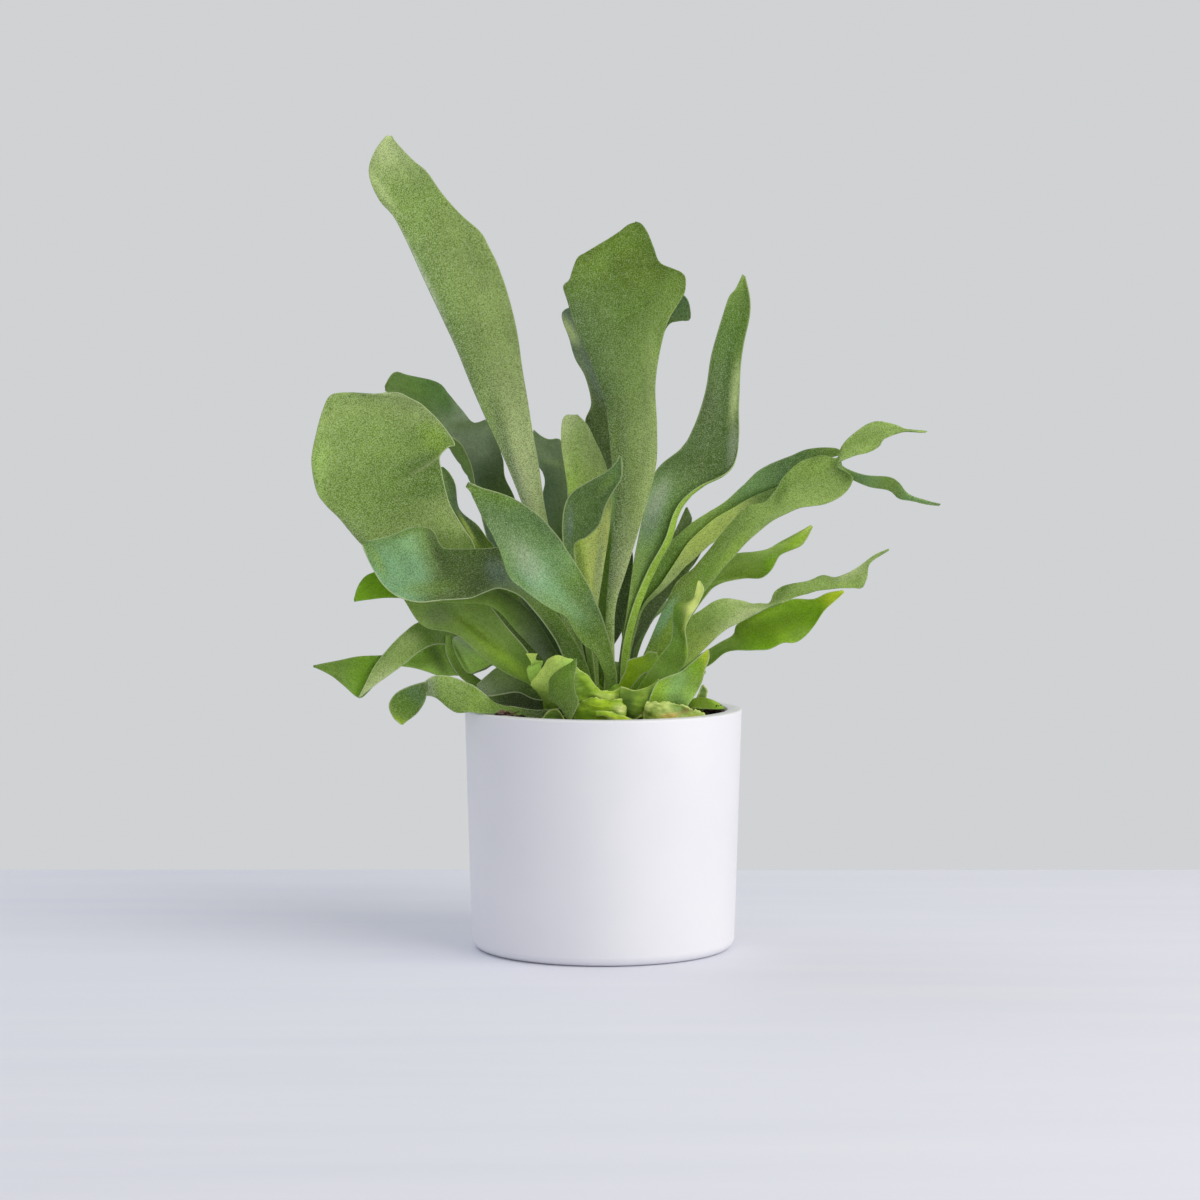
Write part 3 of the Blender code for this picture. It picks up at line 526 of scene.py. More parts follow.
# %% Material: living leaf
LEAF_GAIN = (1.56, 1.655, 0.91, 1)  # from the greens as they look, shaded and seen, to the leaf's own
PIT_SHADE = (0.44, 0.44, 0.44, 1)
SPECK_SIZE = 0.52
PATCH_SIZE = 14
MOTTLE_SIZE = 3.0
VEIN_SIZE = 1.0
VEIN_STRETCH = (0.55, 0.030, 1)
LIGHT_THROUGH = 0.27


def pattern(tree, where, size_mm, detail=2.0, stretch=(1, 1, 1), spread=(0, 1)):
    """Noise whose lumps are about this size. spread gives two of its levels, which become 0 and 1,
    or the two values that follow."""
    scaled = add(tree, "ShaderNodeMapping", {"Vector": where, "Scale": stretch})
    lumps = add(tree, "ShaderNodeTexNoise", {"Vector": scaled, "Scale": 1 / (size_mm * MM), "Detail": detail})
    return add(tree, "ShaderNodeMapRange", {0: lumps, **dict(enumerate(spread, 1))})


def leaf_colour(tree, own, flat, where, felt):
    """The leaf's colour, its painted light and shade included, with mottling, veins and the speckle of its felt.
    """
    speck = pattern(tree, where, SPECK_SIZE, 1.0)
    patches = pattern(tree, where, PATCH_SIZE, spread=(0.3, 0.7, 0.90, 1.06))
    mottle = pattern(tree, where, MOTTLE_SIZE, spread=(0.3, 0.7, 0.92, 1.08))
    veins = pattern(tree, flat, VEIN_SIZE, stretch=VEIN_STRETCH)
    streak = add(tree, "ShaderNodeMapRange", {0: veins, 1: 0.35, 2: 0.65, 3: 0.96, 4: 1.05})
    shade = add(tree, "ShaderNodeMath", {0: patches, 1: mottle}, operation="MULTIPLY")
    shade = add(tree, "ShaderNodeMath", {0: shade, 1: streak}, operation="MULTIPLY")
    colour = add(tree, "ShaderNodeMix", {0: 1.0, 6: own, 7: shade}, **MULTIPLY)
    for levels, bare, hairy, paint, how in (
            ((0.52, 0.36), 0.35, 1.0, PIT_SHADE, MULTIPLY),
            ((0.50, 0.64), 0.05, 0.5, linear("#CFDDB4"), MIX)):
        here = add(tree, "ShaderNodeMapRange", {0: speck, 1: levels[0], 2: levels[1]})
        much = add(tree, "ShaderNodeMapRange", {0: felt, 3: bare, 4: hairy})
        share = add(tree, "ShaderNodeMath", {0: here, 1: much}, operation="MULTIPLY")
        colour = add(tree, "ShaderNodeMix", {0: share, 6: colour, 7: paint}, **how)
    return colour, speck, veins


def fern_leaf(tree, shine, silk):
    """Leathery leaf: matte, softly lit from behind, with a pale margin that is partly painted light."""
    where = add(tree, "ShaderNodeTexCoord", take="Object")
    flat = add(tree, "ShaderNodeUVMap", uv_map="UVMap")
    # leaf_colour holds the frond's greens with their painted light and shade
    painted = add(tree, "ShaderNodeAttribute", take="Color", attribute_name="leaf_colour")
    own = add(tree, "ShaderNodeMix", {0: 1.0, 6: painted, 7: LEAF_GAIN}, **MULTIPLY)
    felt, edge, rim = (add(tree, "ShaderNodeAttribute", take="Fac", attribute_name=name)
                       for name in ("cover", "edge", "rim"))
    colour, speck, veins = leaf_colour(tree, own, flat, where, felt)
    # the pale margin line: partly the edge's own paleness, partly painted light coming through it
    at_margin = add(tree, "ShaderNodeMapRange", {0: edge, 1: 0.60, 2: 0.20})
    rim = add(tree, "ShaderNodeMath", {0: at_margin, 1: rim}, operation="MULTIPLY")
    colour = add(tree, "ShaderNodeMix", {0: rim, 6: colour, 7: linear("#D0DEAA")}, **MIX)
    raised = add(tree, "ShaderNodeMath", {0: veins, 1: 0.5}, operation="MULTIPLY")
    raised = add(tree, "ShaderNodeMath", {0: speck, 1: 0.3, 2: raised}, operation="MULTIPLY_ADD")
    relief = add(tree, "ShaderNodeBump", {"Height": raised, "Strength": 0.35, "Distance": 0.0004})
    leaf = add(tree, "ShaderNodeBsdfPrincipled", {
        "Base Color": colour, "Roughness": 0.46, "Specular IOR Level": shine, "Normal": relief,
        "Sheen Weight": silk, "Sheen Roughness": 0.5, "Sheen Tint": linear("#DCE9E2")})
    glow = add(tree, "ShaderNodeMix", {0: 0.5, 6: colour, 7: linear("#A8CC1E")}, **MIX)
    through = add(tree, "ShaderNodeBsdfTranslucent", {"Color": glow, "Normal": relief})
    return add(tree, "ShaderNodeMixShader", {0: LIGHT_THROUGH, 1: leaf, 2: through})


def felted_leaf(tree):
    """Under its felt the blade has only a dull, silky shine."""
    return fern_leaf(tree, 0.38, 0.06)


def bare_leaf(tree):
    """A young blade whose felt has worn off: smoother and more yellow, without the silky sheen."""
    return fern_leaf(tree, 0.22, 0.0)


def star_hair(tree):
    """Dry star-shaped hairs: chalky and a little see-through."""
    leaf = add(tree, "ShaderNodeAttribute", take="Color", attribute_name="leaf_colour")
    colour = add(tree, "ShaderNodeMix", {0: 0.6, 6: linear("#E6EBD6"), 7: leaf}, **MIX)
    return add(tree, "ShaderNodeBsdfPrincipled", {"Base Color": colour, "Roughness": 0.9})


LEAF = finish_material("Felted fern leaf", felted_leaf)
BARE_LEAF = finish_material("Young fern leaf", bare_leaf)
BARE_BELOW = 0.35  # fronds with less felt than this get the young leaf's finish
HAIR = finish_material("Star hair", star_hair)
print("leaf finishes:", ", ".join(m.name for m in (LEAF, BARE_LEAF, HAIR)))

# %% [markdown]
# ## Felt of star hairs
#
# Real stellate hairs are about half a millimetre across, too many to place one by one and too fine
# to model each: a few tens of thousands of three-rayed stars are enough to catch the light on the
# blade and blur its outline. Geometry Nodes scatter them over a blade, more where it has more felt,
# turned at random and lying on the surface.

# %% Geometry Nodes: scattered pieces
def new_group(name, inputs):
    """A Geometry Nodes tree with named inputs, and the sockets that they come from."""
    tree = bpy.data.node_groups.new(name, "GeometryNodeTree")
    tree.interface.new_socket(name="Geometry", in_out="INPUT", socket_type="NodeSocketGeometry")
    for label, kind, value in inputs:
        socket = tree.interface.new_socket(name=label, in_out="INPUT", socket_type="NodeSocket" + kind)
        if value is not None:
            socket.default_value = value
    tree.interface.new_socket(name="Geometry", in_out="OUTPUT", socket_type="NodeSocketGeometry")
    return tree, add(tree, "NodeGroupInput").node.outputs


def copy_to_points(tree, start, points, turn, size, tint_seed):
    """Puts a copy of Shape on every point and stores a number from 0 to 1 with each, which its finish
    reads as its tint. Then makes the copies real, gives them their finish, joins them to what came
    in, and ends the tree."""
    shape = add(tree, "GeometryNodeObjectInfo", {"Object": start["Shape"]}, "Geometry")
    copies = add(tree, "GeometryNodeInstanceOnPoints",
                 {"Points": points, "Instance": shape, "Rotation": turn, "Scale": size})
    tint = add(tree, "FunctionNodeRandomValue", {2: 0.0, 3: 1.0, "Seed": tint_seed}, 1)
    copies = add(tree, "GeometryNodeStoreNamedAttribute", {"Geometry": copies, "Name": "tint", "Value": tint},
                 domain="INSTANCE")
    real = add(tree, "GeometryNodeRealizeInstances", {"Geometry": copies})
    real = add(tree, "GeometryNodeSetMaterial", {"Geometry": real, "Material": start["Finish"]})
    add(tree, "NodeGroupOutput", {0: add(tree, "GeometryNodeJoinGeometry", {0: [real, start["Geometry"]]})})
    return tree


def run_group(obj, tree, values):
    """Runs a tree on an object with these inputs, keeps what it makes as plain mesh, returns the object."""
    step = obj.modifiers.new(tree.name, "NODES")
    step.node_group = tree
    for item in tree.interface.items_tree:
        if item.in_out == "INPUT" and item.name in values:
            step[item.identifier] = values[item.name]
    bpy.context.view_layer.update()
    graph = bpy.context.evaluated_depsgraph_get()
    made = bpy.data.meshes.new_from_object(obj.evaluated_get(graph))
    obj.modifiers.clear()
    obj.data = made
    made.name = obj.name
    return obj


def scatter_tree(name):
    """Scatters copies of a small shape over the faces of a mesh, keeps the mesh and joins them."""
    tree, start = new_group(name, [
        ("Shape", "Object", None), ("Per square mm", "Float", 0.2), ("Smallest", "Float", 0.7),
        ("Largest", "Float", 1.3), ("Tumble", "Float", 0.0), ("Seed", "Int", 1), ("Finish", "Material", None)])
    density = add(tree, "ShaderNodeMath", {0: start["Per square mm"], 1: 1 / MM**2}, operation="MULTIPLY")
    cover = add(tree, "GeometryNodeInputNamedAttribute", {"Name": "cover"})
    amount = add(tree, "ShaderNodeMath", {0: density, 1: cover}, operation="MULTIPLY")
    points = add(tree, "GeometryNodeDistributePointsOnFaces",
                 {"Mesh": start["Geometry"], "Density": amount, "Seed": start["Seed"]})
    size = add(tree, "FunctionNodeRandomValue",
               {2: start["Smallest"], 3: start["Largest"], "Seed": start["Seed"]}, 1)
    spin = add(tree, "FunctionNodeRandomValue", {2: 0.0, 3: math.tau, "Seed": 5}, 1)
    lean = add(tree, "FunctionNodeRandomValue", {2: -1.0, 3: 1.0, "Seed": 9}, 1)
    lean = add(tree, "ShaderNodeMath", {0: lean, 1: start["Tumble"]}, operation="MULTIPLY")
    turn = add(tree, "ShaderNodeCombineXYZ", {"X": lean, "Y": lean, "Z": spin})
    upright = points.node.outputs["Rotation"]
    turned = add(tree, "FunctionNodeRotateRotation", {0: upright, 1: turn}, rotation_space="LOCAL")
    return copy_to_points(tree, start, points, turned, size, 3)


SCATTER = scatter_tree("Scatter over a surface")
print("group", SCATTER.name)

# %% [markdown]
# ## Pot
#
# The pot is cast in white clay and has a matte glaze: a plain cylinder, a little narrower at the
# foot, with a softly rounded bottom corner that leaves a line of shadow under it, and a flat rim as
# thick as the wall. Anything turned is one profile swept round an axis. The profile is a row of
# points, radius and height, and a small tree sweeps it round, so its sizes stay editable.

# %% Material: matte glazed ceramic
def matte_ceramic(tree):
    """White matte glaze: even and chalky, with the faintest clouding and a fine orange-peel."""
    where = add(tree, "ShaderNodeTexCoord", take="Object")
    cloud = pattern(tree, where, 45, spread=(0.3, 0.7))
    colour = add(tree, "ShaderNodeMix", {0: cloud, 6: linear("#EDEDF4"), 7: linear("#F1F1F6")}, **MIX)
    peel = pattern(tree, where, 1.3, 1.0)
    relief = add(tree, "ShaderNodeBump", {"Height": peel, "Strength": 0.06, "Distance": 0.0003})
    return add(tree, "ShaderNodeBsdfPrincipled",
               {"Base Color": colour, "Roughness": 0.50, "IOR": 1.5, "Normal": relief})


CERAMIC = finish_material("Matte white ceramic", matte_ceramic)
print("glaze:", CERAMIC.name)

# %% [markdown]
# The pot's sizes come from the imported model. Its profile goes from the middle of the floor inside,
# up the wall, over the rim and down to the middle of the underside.

# %% Geometry Nodes: a turned pot
POT_WIDTH = 139.0
POT_HEIGHT = 120.0
POT_FOOT_WIDTH = 132.0
POT_CORNER = 5.0
POT_WALL = 7.5
POT_FLOOR = 9.0
RIM_ROUND = 1.0
STEPS_ROUND = 192


def arc(centre_r, centre_z, radius, start, end, count):
    """Points on an arc in the (radius, z) plane, angles in degrees."""
    angles = np.radians(np.linspace(start, end, count))
    return [(centre_r + radius * math.cos(a), centre_z + radius * math.sin(a)) for a in angles]


def pot_profile():
    """Radius and height of each point of the profile."""
    top, foot = POT_WIDTH / 2, POT_FOOT_WIDTH / 2
    rows = [(0, POT_FLOOR)]
    rows += arc(foot - POT_WALL - POT_CORNER, POT_FLOOR + POT_CORNER, POT_CORNER, -90, 0, 8)
    rows += arc(top - POT_WALL + RIM_ROUND, POT_HEIGHT - RIM_ROUND, RIM_ROUND, 180, 90, 6)
    rows += arc(top - RIM_ROUND, POT_HEIGHT - RIM_ROUND, RIM_ROUND, 90, 0, 6)
    rows += [(foot + (top - foot) * s, POT_HEIGHT * s) for s in (0.8, 0.6, 0.4, 0.2)]
    rows += arc(foot - POT_CORNER, POT_CORNER, POT_CORNER, 0, -90, 12)
    return rows + [(0, 0)]


def turning_tree():
    """Sweeps a profile round the upright axis. The profile lies in the XY plane with its radius less
    one metre along X and its height downwards along Y, because the sweep turns it that way."""
    tree, start = new_group("Turned round", [("Steps", "Int", STEPS_ROUND), ("Finish", "Material", None)])
    profile = add(tree, "GeometryNodeMeshToCurve", {0: start["Geometry"]})
    circle = add(tree, "GeometryNodeCurvePrimitiveCircle", {"Resolution": start["Steps"], "Radius": 1.0})
    upright = add(tree, "GeometryNodeSetCurveNormal", {"Curve": circle}, mode="Z_UP")
    swept = add(tree, "GeometryNodeCurveToMesh", {"Curve": upright, "Profile Curve": profile})
    closed = add(tree, "GeometryNodeMergeByDistance", {"Geometry": swept, "Distance": 0.00001})
    skin = add(tree, "GeometryNodeSetShadeSmooth", {"Geometry": closed})
    real = add(tree, "GeometryNodeRealizeInstances", {"Geometry": skin})
    real = add(tree, "GeometryNodeSetMaterial", {"Geometry": real, "Material": start["Finish"]})
    add(tree, "NodeGroupOutput", {0: real})
    return tree


rows = [(r - 1 / MM, -z, 0) for r, z in pot_profile()]
pot = plain_object("pot_body", rows, [], [(i, i + 1) for i in range(len(rows) - 1)])
run_group(pot, turning_tree(), {"Steps": STEPS_ROUND, "Finish": CERAMIC})
outward(pot)
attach(pot, "root")
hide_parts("pot")
print("pot", len(pot.data.polygons), "faces,", [round(d / MM, 1) for d in pot.dimensions], "mm")

# %% [markdown]
# ## Potting mix
#
# Staghorns grow in a loose mix of dark composted bark with reddish bark chips and a few pale grains
# of perlite. It stands 3.5 mm under the rim and is uneven. The mix itself is one closed lump that
# fills the pot. What makes it look like mix is the crumbs: three small faceted shapes that the
# scatter tree spreads over its top. Each has few faces, because there are thousands.

# %% Potting mix: surface
SOIL_TOP = 116.5
SOIL_LUMP = 1.6
SOIL_LUMP_SIZE = 9.0
SOIL_FINE = ((0.7, 3.1, 40), (0.35, 1.4, 80))  # finer lumps: height, size and where in the noise
SOIL_EDGE = 0.5
CLEARANCE = 0.3
CROWN_MIDDLE = (0.0, -9.0)
STEPS_IN_RING = 160
RINGS_ACROSS = 44
INNERMOST_RING = 8.0


def pot_inside(z):
    """The radius of the pot's inner wall at a height."""
    low, high = POT_FLOOR + POT_CORNER, POT_HEIGHT - RIM_ROUND
    share = (z - low) / (high - low)
    return (POT_FOOT_WIDTH + share * (POT_WIDTH - POT_FOOT_WIDTH)) / 2 - POT_WALL


def ringed(name, rings):
    """A closed solid from rings of points; a ring of one point is a pole."""
    points, starts = [], []
    for ring in rings:
        starts.append(len(points))
        points += ring
    faces = []
    for low, high, lower, upper in zip(starts, starts[1:], rings, rings[1:]):
        count = max(len(lower), len(upper))
        for k in range(count):
            n = (k + 1) % count
            loop = [low + k % len(lower), low + n % len(lower), high + n % len(upper), high + k % len(upper)]
            faces.append(list(dict.fromkeys(loop)))
    made = plain_object(name, points, faces)
    outward(made)
    made.data.shade_smooth()
    return made


def soil_height(x, y):
    """The lumpy top of the mix, with the solid's lumps and finer ones."""
    lump = SOIL_LUMP * noise.noise(Vector((x, y, 0)) / SOIL_LUMP_SIZE)
    fine = sum(high * noise.noise(Vector((x, y, level)) / size) for high, size, level in SOIL_FINE)
    return SOIL_TOP + lump + fine


def ring_of(count, radius, height, middle=(0, 0)):
    """Points round an upright axis; radius and height may be rules that take the angle, or x and y."""
    made = []
    for k in range(count):
        a = math.tau * k / count
        r = radius(a) if callable(radius) else radius
        x, y = middle[0] + r * math.cos(a), middle[1] + r * math.sin(a)
        made.append((x, y, height(x, y) if callable(height) else height))
    return made


def soil_rings():
    """Rings from the middle of the pot's floor, up its wall and in over the lumpy top."""
    bottom = POT_FLOOR + CLEARANCE
    corner = bottom + POT_CORNER
    edge = pot_inside(SOIL_TOP) - SOIL_EDGE
    rings = [[(0, 0, bottom)]]
    for radius, height in ((pot_inside(corner) - POT_CORNER - CLEARANCE, bottom),
                           (pot_inside(corner) - CLEARANCE, corner), (edge, SOIL_TOP - 4)):
        rings.append(ring_of(STEPS_IN_RING, radius, height))
    for share in (i / (RINGS_ACROSS - 1) for i in range(RINGS_ACROSS)):
        radius = edge + (INNERMOST_RING - edge) * share
        rings.append(ring_of(STEPS_IN_RING, radius, soil_height, [share * c for c in CROWN_MIDDLE]))
    return rings + [[(*CROWN_MIDDLE, SOIL_TOP)]]


soil = ringed("potting_mix", soil_rings())
tops = np.array([v.co.z > (SOIL_TOP - 3) * MM for v in soil.data.vertices], float)
store(soil.data, "cover", "FLOAT", tops)
print("mix", len(soil.data.polygons), "faces,", round(soil.dimensions.z / MM, 1), "mm deep")

# %% [markdown]
# A crumb of bark is broken and blocky. Each shape here is a small icosphere whose points are pushed
# in and out by noise and squashed: nearly round for compost, flat and long for bark.

# %% Potting mix: crumbs, bark and perlite
def pebble(name, size, squash, seed, levels=1, rough=0.35):
    """A small faceted lump, out of the way of the scene, that the scatter tree copies."""
    shape = bmesh.new()
    bmesh.ops.create_icosphere(shape, subdivisions=levels, radius=1.0)
    for v in shape.verts:
        push = 1 + rough * noise.noise(v.co * 1.7 + Vector((seed, 0, 0)))
        v.co = Vector([c * push * s * size / 2 * MM for c, s in zip(v.co, squash)])
    mesh = bpy.data.meshes.new(name)
    shape.to_mesh(mesh)
    shape.free()
    return show(name, mesh)


def compost(tree):
    """Damp composted bark: near black, with browner and redder crumbs, dull but for a little damp."""
    where = add(tree, "ShaderNodeTexCoord", take="Object")
    tint = add(tree, "ShaderNodeAttribute", take="Fac", attribute_name="tint")
    browner = pattern(tree, where, 2.5, spread=(0.35, 0.65))
    redder = add(tree, "ShaderNodeMapRange", {0: tint, 1: 0.70, 2: 1.0})
    colour = add(tree, "ShaderNodeMix", {0: browner, 6: linear("#241C1B"), 7: linear("#3A2C27")}, **MIX)
    colour = add(tree, "ShaderNodeMix", {0: redder, 6: colour, 7: linear("#5A3D31")}, **MIX)
    crumbly = pattern(tree, where, 0.8)
    relief = add(tree, "ShaderNodeBump", {"Height": crumbly, "Strength": 0.6, "Distance": 0.0005})
    return add(tree, "ShaderNodeBsdfPrincipled", {"Base Color": colour, "Roughness": 0.85, "Normal": relief})


def bark(tree):
    """Fir bark chips: reddish brown with a paler, fibrous broken side."""
    where = add(tree, "ShaderNodeTexCoord", take="Object")
    tint = add(tree, "ShaderNodeAttribute", take="Fac", attribute_name="tint")
    fibre = pattern(tree, where, 1.6, 3.0, (1, 0.3, 1), (0.35, 0.65))
    darker = add(tree, "ShaderNodeMapRange", {0: tint, 1: 0.5, 2: 1.0})
    colour = add(tree, "ShaderNodeMix", {0: fibre, 6: linear("#5E4038"), 7: linear("#A07F70")}, **MIX)
    colour = add(tree, "ShaderNodeMix", {0: darker, 6: colour, 7: linear("#43302A")}, **MIX)
    return add(tree, "ShaderNodeBsdfPrincipled", {"Base Color": colour, "Roughness": 0.8})


def perlite(tree):
    """Puffed volcanic glass: off-white and chalky."""
    cloud = pattern(tree, add(tree, "ShaderNodeTexCoord", take="Object"), 1.0)
    colour = add(tree, "ShaderNodeMix", {0: cloud, 6: linear("#8F8A80"), 7: linear("#CFCBC2")}, **MIX)
    return add(tree, "ShaderNodeBsdfPrincipled", {"Base Color": colour, "Roughness": 0.9})


COMPOST = finish_material("Composted bark mix", compost)
BARK = finish_material("Fir bark chip", bark)
PERLITE = finish_material("Perlite grain", perlite)
soil.data.materials.append(COMPOST)

crumb = pebble("crumb", 1.9, (1, 0.85, 0.7), 3)
chip = pebble("chip", 5.5, (1, 0.45, 0.28), 8, rough=0.6)
grain = pebble("grain", 1.6, (1, 0.9, 0.8), 12)
for shape, amount, tumble, seed, finish in (
        (crumb, 0.42, 1.2, 2, COMPOST), (chip, 0.018, 0.5, 4, BARK), (grain, 0.006, 1.0, 6, PERLITE)):
    before = len(soil.data.polygons)
    run_group(soil, SCATTER, {"Shape": shape, "Per square mm": amount, "Smallest": 0.55, "Largest": 1.35,
                              "Tumble": tumble, "Seed": seed, "Finish": finish})
    print(shape.name, len(soil.data.polygons) - before, "faces")
for shape in (crumb, chip, grain):
    bpy.data.objects.remove(shape)
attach(soil, "root")
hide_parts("soil")

# %% [markdown]
# At two places the mix shows past the rim. At the left a few long splinters of reddish bark lie
# against the leaf at the rim, and at the right dark crumbs are heaped up to the rim and have stuck to
# the leaf beside them. Each heap is one mesh of small closed shapes.

# %% Bark splinters and crumbs by the rim
def heap(name, shapes, finish):
    """Joins small convex shapes, each given by its corners in millimetres, into one mesh."""
    heaped = bmesh.new()
    for corners in shapes:
        made = [heaped.verts.new([c * MM for c in corner]) for corner in corners]
        bmesh.ops.convex_hull(heaped, input=made)
    mesh = bpy.data.meshes.new(name)
    heaped.to_mesh(mesh)
    heaped.free()
    store(mesh, "tint", "FLOAT", DRAW.random(len(mesh.vertices)))
    mesh.materials.append(finish)
    made = show(name, mesh)
    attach(made, "root")
    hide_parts("soil")
    return made


def lumps(count, middle, spread, size):
    """Corners of count lumps: eight random points in a box of this size, within spread of middle."""
    for _ in range(count):
        at = np.array(middle) + DRAW.uniform(-1, 1, 3) * spread
        scale = DRAW.uniform(0.5, 1.0) * np.array(size)
        turn = Euler(DRAW.uniform(-0.5, 0.5, 3) * (1, 1, 3)).to_matrix()
        corners = np.array([(a, b, c) for a in (-1, 1) for b in (-1, 1) for c in (-1, 1)])
        corners = corners * scale / 2 * DRAW.uniform(0.6, 1.0, (8, 3))
        yield [at + np.array(turn @ Vector(c)) for c in corners]


DRAW = np.random.default_rng(17)
splinters = heap("bark_splinters", lumps(60, (-46.8, -38.2, 119.4), (4.2, 1.4, 2.9), (7, 1.1, 0.8)), BARK)
crumbs = heap("rim_crumbs", list(lumps(170, (54.5, -13, 118.6), (4.5, 9, 2.6), (2.6, 2.4, 2.0)))
              + list(lumps(70, (-46, -39.4, 118.6), (7, 1.2, 1.6), (2.2, 1.6, 1.3)))
              + list(lumps(5, (56.5, -27, 123.6), (1.6, 0.8, 0.6), (0.9, 0.8, 0.7))), COMPOST)
print("heaps", len(splinters.data.polygons), len(crumbs.data.polygons), "faces")

# %% [markdown]
# ## Crown
#
# In the middle of the pot sits the rhizome, a short creeping stem. It is hidden under shield
# fronds: round, tongue-like plates that press over each other like tiles and never carry spores.
# The young ones are bright yellow-green and fleshy, with a torn edge, and old ones go brown and
# papery. The lump underneath is one closed dome. The plates are one shape, set round the dome in
# rings by a tree that leans each ring outwards and gives every plate its own size and turn.

# %% Material: shield frond
# painted shade in the hollows between the ridges and a painted highlight on them, as gains on the plate's green
SHADE_BETWEEN_RIDGES = (0.76, 0.84, 0.62, 1)
LIGHT_ON_RIDGES = (1.25, 1.22, 1.25, 1)
COLLAR_GAIN = (1.35, 1.35, 1.1, 1)


def shield_tissue(tree, own):
    """Young shield frond: fleshy, bright yellow-green, with ridges painted lighter and painted shade between
    them, and brown, dry flecks.
    """
    where = add(tree, "ShaderNodeTexCoord", take="Object")
    ridge = pattern(tree, where, 2.6, 5.0, (0.6, 0.6, 1.5), (0.35, 0.65))
    # the green between the ridges gets painted shade, the green on them a painted highlight
    low, high = (add(tree, "ShaderNodeMix", {0: 1.0, 6: own, 7: gain}, **MULTIPLY)
                 for gain in (SHADE_BETWEEN_RIDGES, LIGHT_ON_RIDGES))
    colour = add(tree, "ShaderNodeMix", {0: ridge, 6: low, 7: high}, **MIX)
    fleck = pattern(tree, where, 2.4, spread=(0.69, 0.75, 0, 0.7))
    colour = add(tree, "ShaderNodeMix", {0: fleck, 6: colour, 7: linear("#8A6A38")}, **MIX)
    relief = add(tree, "ShaderNodeBump", {"Height": ridge, "Strength": 0.5, "Distance": 0.0006})
    flesh = add(tree, "ShaderNodeBsdfPrincipled",
                {"Base Color": colour, "Roughness": 0.52, "Specular IOR Level": 0.32, "Normal": relief})
    through = add(tree, "ShaderNodeBsdfTranslucent", {"Color": linear("#B9D83A")})
    return add(tree, "ShaderNodeMixShader", {0: 0.22, 1: flesh, 2: through})


def crown_colour(tree):
    """The plates' greens, each plate its own between lime and old leaf green."""
    tint = add(tree, "ShaderNodeAttribute", take="Fac", attribute_name="tint")
    own = add(tree, "ShaderNodeMix", {0: tint, 6: linear("#9CC032"), 7: linear("#7FA52C")}, **MIX)
    return shield_tissue(tree, own)


def collar_colour(tree):
    """A collar carries its green, with its marks' painted shade and highlights, and its edge is pale."""
    painted = add(tree, "ShaderNodeAttribute", take="Color", attribute_name="leaf_colour")
    edge = add(tree, "ShaderNodeAttribute", take="Fac", attribute_name="edge")
    own = add(tree, "ShaderNodeMix", {0: 1.0, 6: painted, 7: COLLAR_GAIN}, **MULTIPLY)
    pale = add(tree, "ShaderNodeMapRange", {0: edge, 1: 0.9, 2: 0.3, 3: 0.0, 4: 0.8})
    own = add(tree, "ShaderNodeMix", {0: pale, 6: own, 7: linear("#DCE890")}, **MIX)
    return shield_tissue(tree, own)


SHIELD = finish_material("Shield frond tissue", crown_colour)
COLLAR = finish_material("Young shield frond tissue", collar_colour)
print("crown finishes:", SHIELD.name, "and", COLLAR.name)

# %% [markdown]
# The dome is made of rings like the mix: a neck that stands in it, then rings that close in towards
# the top. Two waves round it, three lobes and seven, keep it from looking turned.

# %% Crown: dome
CROWN_WIDTH = 66.0
CROWN_BOTTOM = 98.0
CROWN_NECK = 0.78
CROWN_LUMP = 2.2
CROWN_WAIST = 1.3
CROWN_LUMP_SIZE = 8
FINE_LUMP, FINE_LUMP_SIZE = 0.4, 3.4
THREE_LOBES, SEVEN_LOBES = 0.07, 0.04
DOME_TOP = 129.0
DOME_STEPS = 96
DOME_RINGS = 26


def dome_ring(share, level):
    """The ring at this share of the way up the dome."""
    def radius(a):
        lobes = 1 + THREE_LOBES * math.cos(3 * a + 0.6) + SEVEN_LOBES * math.cos(7 * a)
        return (CROWN_WIDTH / 2 - 1.5) * lobes * (1 - share**1.6) ** 0.6

    def height(x, y):
        lump = CROWN_LUMP * min(1, 3 * share) * noise.noise(Vector((x, y, level)) / CROWN_LUMP_SIZE)
        return level + lump + FINE_LUMP * noise.noise(Vector((x, y, level + 30)) / FINE_LUMP_SIZE)

    return ring_of(DOME_STEPS, radius, height, CROWN_MIDDLE)


def crown_rings():
    """The neck in the mix, then the dome over it."""
    waist = SOIL_TOP + SOIL_LUMP
    neck = CROWN_WIDTH / 2 * CROWN_NECK
    rings = [[(*CROWN_MIDDLE, CROWN_BOTTOM)]]
    rings += [ring_of(DOME_STEPS, neck, level, CROWN_MIDDLE) for level in (CROWN_BOTTOM, waist)]
    for share in ((i / DOME_RINGS) ** 0.8 for i in range(DOME_RINGS)):
        rings.append(dome_ring(share, waist + CROWN_WAIST - 1 + (DOME_TOP - waist - 1) * share))
    return rings + [[(*CROWN_MIDDLE, DOME_TOP - 1)]]


crown = ringed("crown_dome", crown_rings())
crown.data.materials.append(SHIELD)
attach(crown, "root")
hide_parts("crown")
print("crown dome", len(crown.data.polygons), "faces")

# %% [markdown]
# A plate is a thin tongue, widest past its middle and torn along its top. It is made a millimetre
# high here, so that the tree's Size input is its real height. Each ring stands a little higher and
# closer in than the one before.

